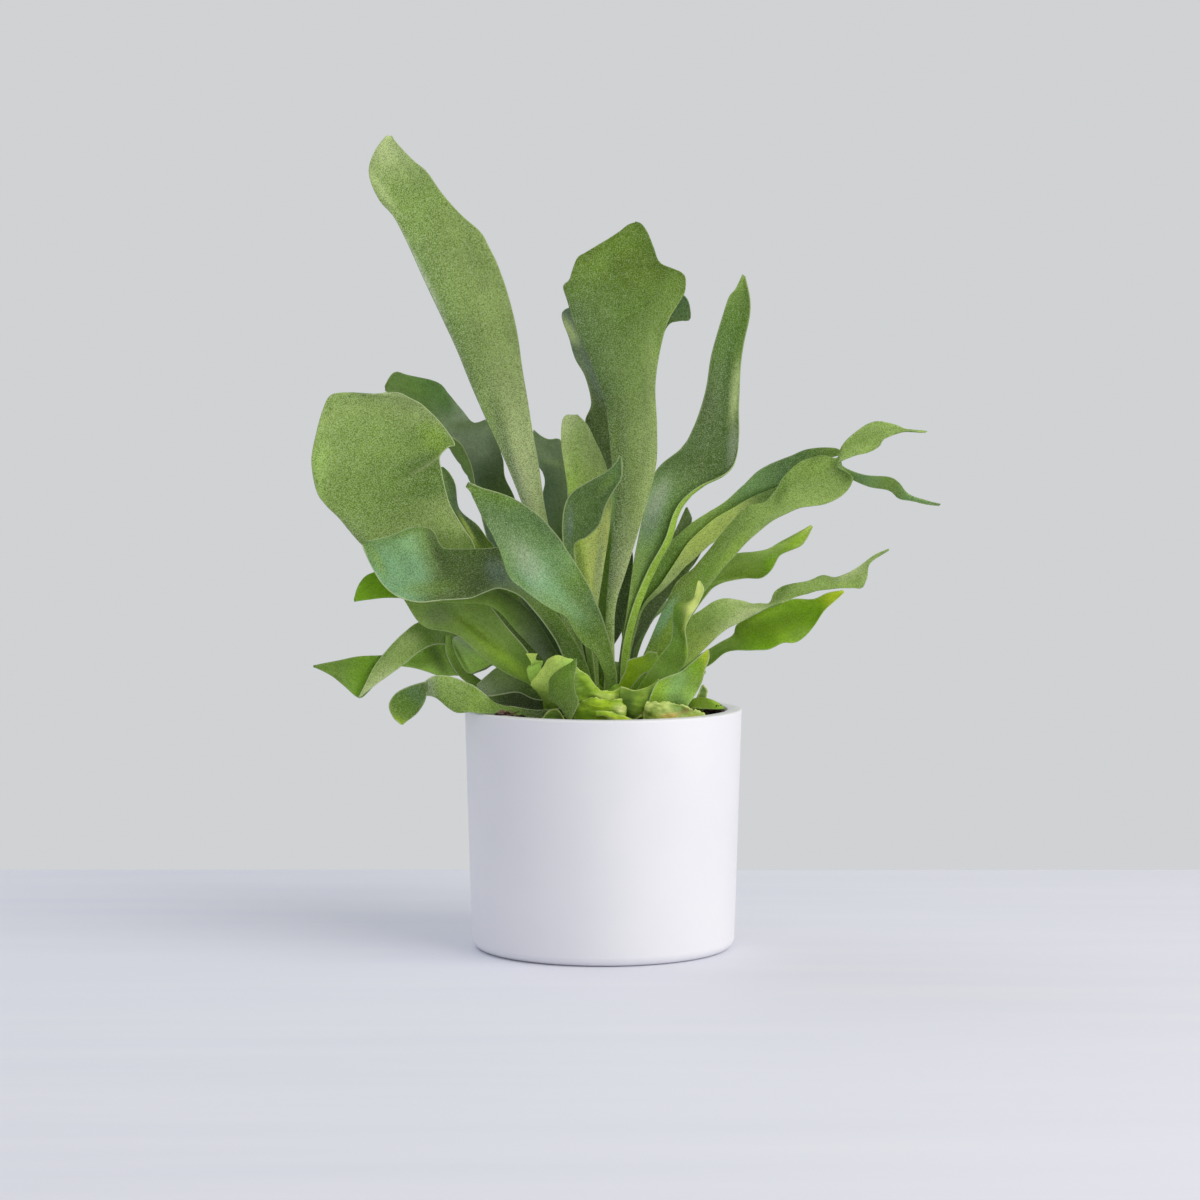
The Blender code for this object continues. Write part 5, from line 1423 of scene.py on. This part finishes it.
        right=[(-11, 128), (-24, 149), (-36, 168), (-50, 179), (-70, 188), (-100, 190), (-116, 188),
            (-122, 183), (-125, 175)],
        depth=[-6, -9, -14, -19, -21, -22, -24], tilt=[0, 1, 2, 3, 3, 2, 0], hollow=0.06, waves=2,
        front="leaf grey/deep wool/deep felt vivid vivid", back="leaf vivid", felt=0.1),
    "left_drooping": dict(
        left=[(-20, 126), (-40, 139), (-64, 148), (-82, 152), (-92, 148.5), (-100, 142), (-107.5, 136.6),
            (-114, 132), (-119, 128), (-122.6, 125)],
        right=[(-17, 129), (-36, 147), (-60, 158), (-80, 164), (-92, 163.5), (-100, 158), (-105.5, 152.8),
            (-111, 146.5), (-115.8, 139.7), (-119.6, 132), (-122.8, 125.5)],
        depth=[6, 10, 12, 7, -6, -11, -13], tilt=[0, 1, 2, 2, 1, 1, 0], hollow=0.06, waves=2,
        front="basil wool basil felt wool basil felt/basil tip/wool tip", back="basil wool", rim=(0.8, 0.6),
        marks=[(-99, 152.5, 10, 5, 42, 0, "stalk", 0.6)],
        fork=dict(
            left=[(-113, 134), (-118.6, 127.6), (-123, 125.2), (-130.5, 131.5), (-137.3, 136.8),
                (-145.6, 140.8)],
            right=[(-106, 147), (-112, 146.5), (-122.7, 146), (-132.4, 144.1), (-145.6, 141.4)],
            depth=[-8, -10, -13, -15], tilt=[0, 1, 1, 0], ripple=0.4,
            front="bay vivid leaf leaf", back="basil leaf", felt=0.2)),
    "left_under": dict(
        left=[(-18, 124), (-34, 131), (-52, 141.5), (-60, 139), (-68, 136.5), (-75, 136.4), (-81.5, 135.9),
            (-87, 137.8), (-94, 139.9), (-101, 141)],
        right=[(-16, 128), (-34, 139), (-56, 150), (-74, 158), (-84, 160.5), (-94, 159.6), (-92, 154),
            (-93, 149), (-97, 146), (-101, 142.5)],
        depth=[6, 6, 6, 5, 4, 4], tilt=[0, 1, 2, 3, 3, 0],
        front="shade grass felt dew/wool dew/grass dew", back="basil", rim=(0.5, 0.6), felt=0.2,
        marks=[(-91, 143, 9, 4, 10, 0.8, "leaf", 0.7), (-84, 147, 13, 3.4, -62, -0.3, "shade", 0.8)]),
    "left_narrow": dict(
        left=[(-20, 122), (-40, 124), (-56, 126), (-66, 131), (-74, 138), (-79, 148), (-79, 157)],
        right=[(-17, 126), (-38, 130), (-54, 131), (-64, 136), (-71, 143), (-76, 152), (-77, 159)],
        depth=[2, 2, 2, 2, 2, 2], tilt=[0, 1, 1, 1, 1, 0], hollow=0.04, ripple=0.3,
        front="deep shade basil/shade basil/grass dew/grass", back="shade leaf", rim=(0.8, 0.1), felt=0.2),
    "left_light": dict(
        left=[(-22, 124), (-36, 135), (-52, 142.5), (-60, 140), (-68, 137.5), (-74, 147), (-76, 154)],
        right=[(-20, 127), (-32, 139), (-44, 146), (-57, 150), (-68, 156), (-75, 156)],
        depth=[0, 0, 1, 1, 1, 0], tilt=[0, 0, 1, 2, 1, 0], hollow=0.08, ripple=0.5,
        front="wool grass dew dew/silver", back="basil", rim=(0.5, 0.1), felt=0.1,
        marks=[(-72.5, 147, 9, 1.0, -61, -0.4, "bay", 0.8), (-64, 152, 6, 3, -20, 0, "silver", 0.5)]),
    "left_dark": dict(
        left=[(-23, 117), (-32, 116), (-45, 118), (-54, 121.5), (-59, 126), (-63.5, 130.8)],
        right=[(-20, 127), (-33, 134), (-44, 140), (-52, 141), (-58, 136.8), (-63.4, 132)],
        depth=[-10, -9, -8, -8, -8], tilt=[0, 1, 2, 2, 0], hollow=0.08, ripple=0.5,
        front="deep deep/bay sage/felt sage", back="shade basil", rim=(0.1, 0.8), felt=0.4,
        fork=dict(
            left=[(-20, 116), (-36, 117), (-50, 119.5), (-57.5, 125.4)],
            right=[(-20, 124), (-34, 124.6), (-42.5, 128.2), (-50, 127.4), (-57.8, 126)],
            depth=[-13, -14, -12], tilt=[0, 1, 1], ripple=0.4,
            front="deep deep deep shade", back="shade leaf", rim=(0.1, 1.0), felt=0.3)),
    "rim_left": dict(
        left=[(-18, 115), (-35, 115), (-52, 117), (-65, 118), (-73, 117.5), (-78, 120), (-84, 125),
            (-89.6, 126.4)],
        right=[(-17, 121), (-33, 119), (-50, 121.5), (-57, 125), (-65, 131), (-75, 135.5), (-84, 136.5),
            (-89.6, 133.4)],
        depth=[-33, -35, -35, -33, -31, -30, -29], tilt=[0, 3, 6, 8, 5, 2, 0], hollow=0.05, ripple=0.9, waves=3,
        blunt=True,
        front="deep deep shade leaf basil grass basil/felt basil/felt sage", back="basil", rim=(0.15, 0.8),
        felt=0.6,
        fork=dict(
            left=[(-88.6, 127.4), (-90, 122.6), (-94, 117), (-101, 111.6)],
            right=[(-88.6, 133.6), (-97, 131.2), (-104.4, 127.4), (-107.8, 121.6), (-105.8, 115.6),
                (-101.6, 111.8)],
            depth=[-31.5, -32, -31], tilt=[0, 2, 0], ripple=0.4,
            front="shade kelp bay leaf moss", back="leaf", rim=(0.3, 0.5), felt=0.4)),
    "back_left": dict(
        left=[(-14, 128), (-31, 146), (-49, 178), (-58, 204), (-64, 228), (-70, 240), (-77, 250.5), (-88, 264),
            (-100, 273), (-109, 279)],
        right=[(-8, 130), (-17, 150), (-28, 176), (-38, 205), (-44.5, 226), (-49.2, 236), (-50.2, 246),
            (-53, 256), (-58, 265), (-61, 264), (-65, 264), (-70, 270), (-75, 276), (-80, 281.5), (-86, 284.5),
            (-98, 287), (-103, 288.5), (-106, 286.5), (-109, 281.5)],
        depth=[14, 20, 29, 37, 43, 48, 52], tilt=[0, 1, 2, 4, 4, 2, 0], hollow=0.08, ripple=1.0, waves=3,
        front="deep slate/deep slate/deep slate/deep slate/shade slate/grey silver dusk/sea dusk",
        back="basil sage dusk wool", rim=(1.0, 0.2), felt=0.15,
        fold=dict(side="left", widths=[0, 0, 0, 0, 0, 0, 0, 0, 0, 0, 0, 0, 2.5, 7, 8, 4, 0, 0, 0, 0], front=1.4),
        marks=[(-80, 275, 9, 4, -60, 0.8, "sea", 0.8), (-67, 262, 10, 3, 5, 1.2, "dusk", 0.8),
            (-57, 229, 13, 8, 80, -0.4, "deep", 0.8), (-60, 259, 10, 4, -8, 0.5, "silver", 0.6),
            (-62, 251, 9, 6, -20, 0.4, "silver", 0.5), (-96, 281, 9, 4, -15, 0.5, "basil", 0.3)]),
    "back_middle": dict(
        left=[(-8, 129), (-14, 150), (-24, 190), (-29.6, 218), (-30.2, 227), (-29.2, 233), (-30.2, 238),
            (-33.5, 244), (-35.4, 258)],
        right=[(-4, 130), (-8, 152), (-14, 190), (-17, 220), (-19, 240), (-21, 254), (-27, 254.6), (-31, 256.4),
            (-34.6, 259.6)],
        depth=[16, 22, 30, 36, 40, 42], tilt=[0, 1, 2, 2, 1, 0], ripple=0.8, waves=2,
        front="deep shade shade slate/sage silver", back="basil wool", felt=0.15,
        marks=[(-24, 243, 7, 1.2, -12, 0.5, "tip", 0.5), (-30, 246, 8, 2.4, -30, 0.4, "silver", 0.5)]),
    "blunt_centre": dict(
        left=[(-7, 127), (-9, 155), (-13, 185), (-16, 208), (-18, 231), (-21, 252), (-20.5, 264), (-18, 267)],
        right=[(-2, 128), (-3, 165), (-0.4, 187), (2.4, 205), (4.2, 224), (2, 240), (-4, 254), (-8, 262),
            (-13, 267)],
        depth=[-3, 0, 4, 7, 10, 12], tilt=[0, 1, 2, 2, 1, 0], ripple=0.8, waves=2, blunt=True,
        front="grass olive/felt moss/pale moss/cream moss/cream lime/stalk stalk tip", back="basil wool",
        felt=0.7,
        marks=[(-12, 192, 14, 2.6, 100, -0.6, "olive", 0.8), (-2, 190, 20, 2.0, 85, 0.6, "tip", 0.9),
            (-12, 258, 8, 4, 80, 0.6, "felt", 0.6), (-14, 243, 8, 3, 90, 0, "vivid", 0.4)]),
    "twisted_dark": dict(
        left=[(-6, 128), (-10, 155), (-18, 185), (-20.5, 203), (-20, 219), (-16, 228), (-7, 234), (1, 238.5),
            (6, 243), (8, 247)],
        right=[(-3, 128), (-6, 152), (-12, 180), (-14.5, 201), (-8, 206), (-2, 212), (1, 221), (5, 228.5),
            (9, 235), (9.5, 241), (9, 246)],
        depth=[-8, -10, -13, -15, -17, -19, -20], tilt=[0, 0, 2, 4, 2, 0, 0], waves=2,
        front="leaf basil shade pine/blue pine pine kelp", back="basil grass", rim=(0.5, 0.5), felt=0.4,
        marks=[(-17, 212, 9, 1.8, 88, 0, "slate", 0.7), (-8, 222, 9, 4, 45, -0.8, "blue", 0.5),
            (2, 233, 7, 2.2, 50, 0.6, "basil", 0.5)]),
    "behind_centre": dict(
        left=[(0, 128), (-0.5, 145), (1.5, 160), (5.5, 196), (7, 224), (-2, 239), (-6, 258), (-9, 264),
            (-6, 273), (-9, 286), (-14, 295), (-17, 305), (-20.5, 318), (-10, 322), (6, 327), (20, 330)],
        right=[(3, 128), (3.6, 147), (9, 158), (13, 170), (14.6, 186), (14.8, 196), (14.5, 204), (20, 240),
            (22, 270), (26, 295), (32, 311), (38, 313.6), (43, 314), (43.5, 319), (41, 326), (32, 330),
            (24, 331)],
        depth=[12, 14, 17, 19, 20, 19, 16], tilt=[0, 1, 2, 2, 1, 0, 0], hollow=0.08, ripple=1.0, waves=3,
        front="deep deep deep deep/shade slate/shade slate", back="basil wool",
        marks=[(-17, 309, 8, 2.5, 120, 0.5, "tip", 0.8), (-9, 282, 14, 1.6, 105, 0.5, "dusk", 0.8),
            (-4, 285, 14, 2.5, 110, -0.5, "slate", 0.6), (40, 319, 6, 4, 80, 0.3, "kelp", 0.7)]),
    "back_right": dict(
        left=[(10, 132), (12, 150), (16, 164), (24, 176), (34, 189), (44, 199)],
        right=[(12.5, 132), (16, 150), (21.9, 160), (31, 173.5), (40, 184), (47, 197)],
        depth=[12, 15, 20, 25, 28], tilt=[0, 1, 2, 2, 0], ripple=0.5,
        front="deep deep shade", back="basil grass", felt=0.4),
    "behind_fan": dict(
        left=[(-15, 126), (-38, 145), (-50, 158), (-62, 178), (-70, 198), (-78, 216), (-82, 232), (-82, 241)],
        right=[(-10, 127), (-25, 148), (-42, 176), (-54, 200), (-58, 205), (-63, 212), (-72, 220), (-74, 232),
            (-77, 238), (-80, 241)],
        depth=[2, 6, 10, 12, 13, 13], tilt=[0, 1, 2, 2, 1, 0],
        front="deep shade shade bay olive leaf/slate dusk", back="basil grass", felt=0.4,
        marks=[(-64, 208, 9, 3.4, -52, 0, "deep", 0.8), (-68, 210, 9, 1.0, -60, 0.5, "pale", 0.8)]),
    "front_folded": dict(
        left=[(-27, 118), (-33, 128), (-36.5, 132), (-33, 137), (-30, 141), (-28, 144.5), (-24, 146.5)],
        right=[(-17, 117), (-14, 128), (-13.6, 138), (-14, 144), (-18, 145.2), (-22, 146.6)],
        depth=[-28, -32, -38, -41, -42], tilt=[0, -2, -4, -3, 0], hollow=-0.12, ripple=0.3, blunt=True,
        front="bay felt/crown pale/dew pale/dew pale", back="lime", felt=0.15,
        fork=dict(
            left=[(-14.4, 145), (-18, 142), (-22.5, 139), (-26.8, 135), (-27.5, 130), (-27.2, 124), (-24, 122),
                (-21.2, 119), (-19, 115.6), (-17.4, 113.4)],
            right=[(-13.4, 144.6), (-13.5, 140), (-14.6, 134), (-14, 128), (-12.4, 123.2), (-14, 118.7),
                (-16.8, 113)],
            depth=[-42, -46, -52, -57, -59], tilt=[0, -1, -2, -1, 0], hollow=0.08, ripple=0.3,
            front="bay pine pine shade shade deep", back="bay shade", rim=(0.1, 0.35), felt=0.2,
            marks=[(-15, 137, 8, 0.9, 95, 0.3, "grass", 0.9), (-22, 128, 8, 3, 90, 0, "kelp", 0.6)])),
    "shield_front": dict(
        left=[(20, 113), (21.5, 122.6), (29, 123), (36, 122), (42, 120.5), (44.5, 119), (49, 118.3), (51, 117)],
        right=[(24, 110), (26, 112), (34, 110.5), (42, 110.5), (48, 111), (50.8, 113)],
        depth=[-49, -52, -51, -45, -38], tilt=[1, 0, -1, -1, 0], hollow=-0.03, ripple=0.8, waves=3,
        crumple=(1.3, 2.6), step=0.6,
        front="olive pale/moss pale/felt wool/felt wool/moss pale", back="lime", felt=0.1,
        marks=[(33, 116, 5, 1.5, 5, 0.4, "husk", 0.7), (29, 121.5, 4, 1.6, 0, 0.4, "pale", 0.8),
            (41, 118.5, 3, 1.6, 20, -0.5, "bark", 0.7), (24, 118, 4, 1.6, 60, -0.8, "leaf", 0.7),
            (44, 115, 3, 1.2, 20, 0.5, "husk", 0.5)]),
    "small_left": dict(
        left=[(-19, 124), (-28, 130), (-36, 132.5), (-38.5, 140), (-36, 142), (-39, 147.5)],
        right=[(-15, 126), (-23, 134), (-31, 139.5), (-30, 143.5), (-34, 144), (-33, 147.5)],
        depth=[-22, -23, -24, -25], tilt=[0, 1, 1, 0], hollow=0.08, ripple=0.3, blunt=True,
        front="crown grass grass dew pale", back="lime", felt=0.1),
}
for slot, names in (
        ("light_green", "tall_left left_fan blunt_centre left_light left_under"),
        ("teal_green", "upright_right front_teal left_level shield_right right_behind_fork"),
        ("dark_green", """back_left back_middle behind_centre behind_fan twisted_dark left_dark back_right
                          left_narrow"""),
        ("yellow_green", """yellow_tip left_behind_level rim_right curled_right shield_front front_folded
                            small_left""")):
    dict.fromkeys(names.split(), slot)

# %% [markdown]
# The photograph hides the far side, but a staghorn grows all round, so some fronds arch out to the
# back. A rule makes them: a spine from the crown up and over to the tip, and a width along it. Their
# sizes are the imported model's.

# %% Fronds on the far side
REAR_FRONDS = {
    "rear_steep": dict(direction=92, foot=18, reach=78, rise=98, tip=236, width=25),
    "rear_broad": dict(direction=101, foot=22, reach=122, rise=60, tip=172, width=34, fork=24),
    "rear_left": dict(direction=126, foot=23, reach=112, rise=62, tip=186, width=28, fork=-22),
    "rear_right": dict(direction=62, foot=21, reach=100, rise=54, tip=168, width=26),
    "rear_low_left": dict(direction=145, foot=25, reach=84, rise=12, tip=124, width=20),
    "rear_low_right": dict(direction=46, foot=23, reach=76, rise=20, tip=133, width=18),
    "rear_hanging_right": dict(direction=76, foot=24, reach=118, rise=25, tip=96, width=26, fork=20),
    "rear_hanging_left": dict(direction=112, foot=25, reach=108, rise=21, tip=104, width=24),
}
REAR_FOOT_HEIGHT = 119.0
REAR_WIDTHS = (0.13, 0.20, 0.45, 0.85, 1.0, 0.8, 0.06)
REAR_LOOKS = (
    dict(front="basil wool leaf sea", back="basil wool felt", felt=0.5),
    dict(front="grass basil sea leaf", back="grass felt wool", felt=0.7),
    dict(front="lime grass leaf basil", back="grass basil grass", felt=0.3),
)
TINE_STARTS = 0.62
TINE_STARTS_ALONG = 0.68
TINE_SINKS = 0.4
TINE_REACH = 0.42
TINE_FALL = 0.5
TINE_HALF_WIDTHS = ((0, 0.30), (0.25, 0.34), (0.6, 0.26), (1, 0.04))


def rear_frond(look, direction, foot, reach, rise, tip, width, fork=0):
    """A frond that arches out to the far side. fork turns a tine off to one side by that many degrees."""
    out = Vector((math.cos(math.radians(direction)), math.sin(math.radians(direction)), 0))
    aside = Vector((out.y, -out.x, 0))
    start = REAR_FOOT_HEIGHT
    top = start + rise
    spine = [(foot, start), (foot + 0.08 * reach, start + 0.45 * rise),
             (0.40 * reach, start + 0.88 * rise), (0.70 * reach, (2 * top + tip) / 3), (reach, tip)]
    left, right = [], []
    for i, share in enumerate(REAR_WIDTHS):
        along = i / (len(REAR_WIDTHS) - 1)
        distance, height = (smooth([p[k] for p in spine], along) for k in (0, 1))
        middle = out * distance + Vector((0, 0, height))
        left.append(tuple(middle - aside * width / 2 * share))
        right.append(tuple(middle + aside * width / 2 * share))
    frond = dict(left=left, right=right, hollow=0.09, ripple=1.2, waves=3, **look)
    if fork:
        turned_by = math.radians(fork)
        side = (out * math.cos(turned_by) + aside * math.sin(turned_by)).normalized()
        across = Vector((side.y, -side.x, 0))
        root = out * TINE_STARTS * reach
        root.z = smooth([p[1] for p in spine], TINE_STARTS_ALONG) - TINE_SINKS
        run = side * reach * TINE_REACH + Vector((0, 0, (tip - root.z) * TINE_FALL))
        tine_left, tine_right = [], []
        for step, share in TINE_HALF_WIDTHS:
            middle = root + run * step
            tine_left.append(tuple(middle - across * width * share))
            tine_right.append(tuple(middle + across * width * share))
        frond["fork"] = dict(left=tine_left, right=tine_right, hollow=0.03, ripple=0.3, waves=1, **look)
    return frond


for number, (name, sizes) in enumerate(REAR_FRONDS.items()):
    FRONDS[name] = rear_frond(REAR_LOOKS[number % len(REAR_LOOKS)], **sizes)
print(len(FRONDS), "fronds")

# %% [markdown]
# ## Making the leaves
#
# Every frond becomes one piece that stands for its node. A forked frond's tine is a second blade
# joined to the first. Then the felt goes on.

# %% Leaves
def star_shape():
    """A star hair: three thin rays, 0.1 mm over the leaf and rising a little to their tips."""
    points, faces = [], []
    for k in range(3):
        a = math.tau * k / 3 + 0.3 * k
        ray = Vector((math.cos(a), math.sin(a), 0))
        wide = Vector((-ray.y, ray.x, 0)) * 0.045
        low, tip = Vector((0, 0, 0.10)), ray * (0.26 + 0.05 * k) + Vector((0, 0, 0.18))
        start = len(points)
        points += [tuple(low - wide), tuple(low + wide), tuple(tip)]
        faces.append((start, start + 1, start + 2))
    return plain_object("star", points, faces)


def join(first, second):
    """Makes one piece of two."""
    with bpy.context.temp_override(active_object=first, selected_editable_objects=[first, second]):
        bpy.ops.object.join()
    return first


STARS_PER_MM2 = 0.30
star = star_shape()
triangles = largest = 0
for number, (name, frond) in enumerate(FRONDS.items()):
    leaf = leaf_mesh("leaf_" + name, frond)
    if "fork" in frond:
        join(leaf, leaf_mesh("tine_" + name, frond["fork"]))
    leaf.data.materials.clear()
    finish = BARE_LEAF if np.max(frond.get("felt", USUAL["felt"])) < BARE_BELOW else LEAF
    leaf.data.materials.append(COLLAR if "crumple" in frond else finish)
    run_group(leaf, SCATTER, {"Shape": star, "Per square mm": STARS_PER_MM2, "Smallest": 0.6, "Largest": 1.1,
                              "Tumble": 0.15, "Seed": number + 1, "Finish": HAIR})
    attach(leaf, "root")
    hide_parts("frond_" + name)
    size = sum(len(p.vertices) - 2 for p in leaf.data.polygons)
    triangles, largest = triangles + size, max(largest, size)
bpy.data.objects.remove(star)
print("leaves:", triangles, "triangles, the largest", largest)

# %% [markdown]
# ## Finishing
#
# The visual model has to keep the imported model's size, so both boxes are kept side by side.

# %% Sizes and the last line
low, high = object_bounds()
for side, mine, theirs in (("low", low, cad_low), ("high", high, cad_high)):
    print(side, "corner, visual less CAD in mm:", [round((a - b) / MM, 1) for a, b in zip(mine, theirs)])
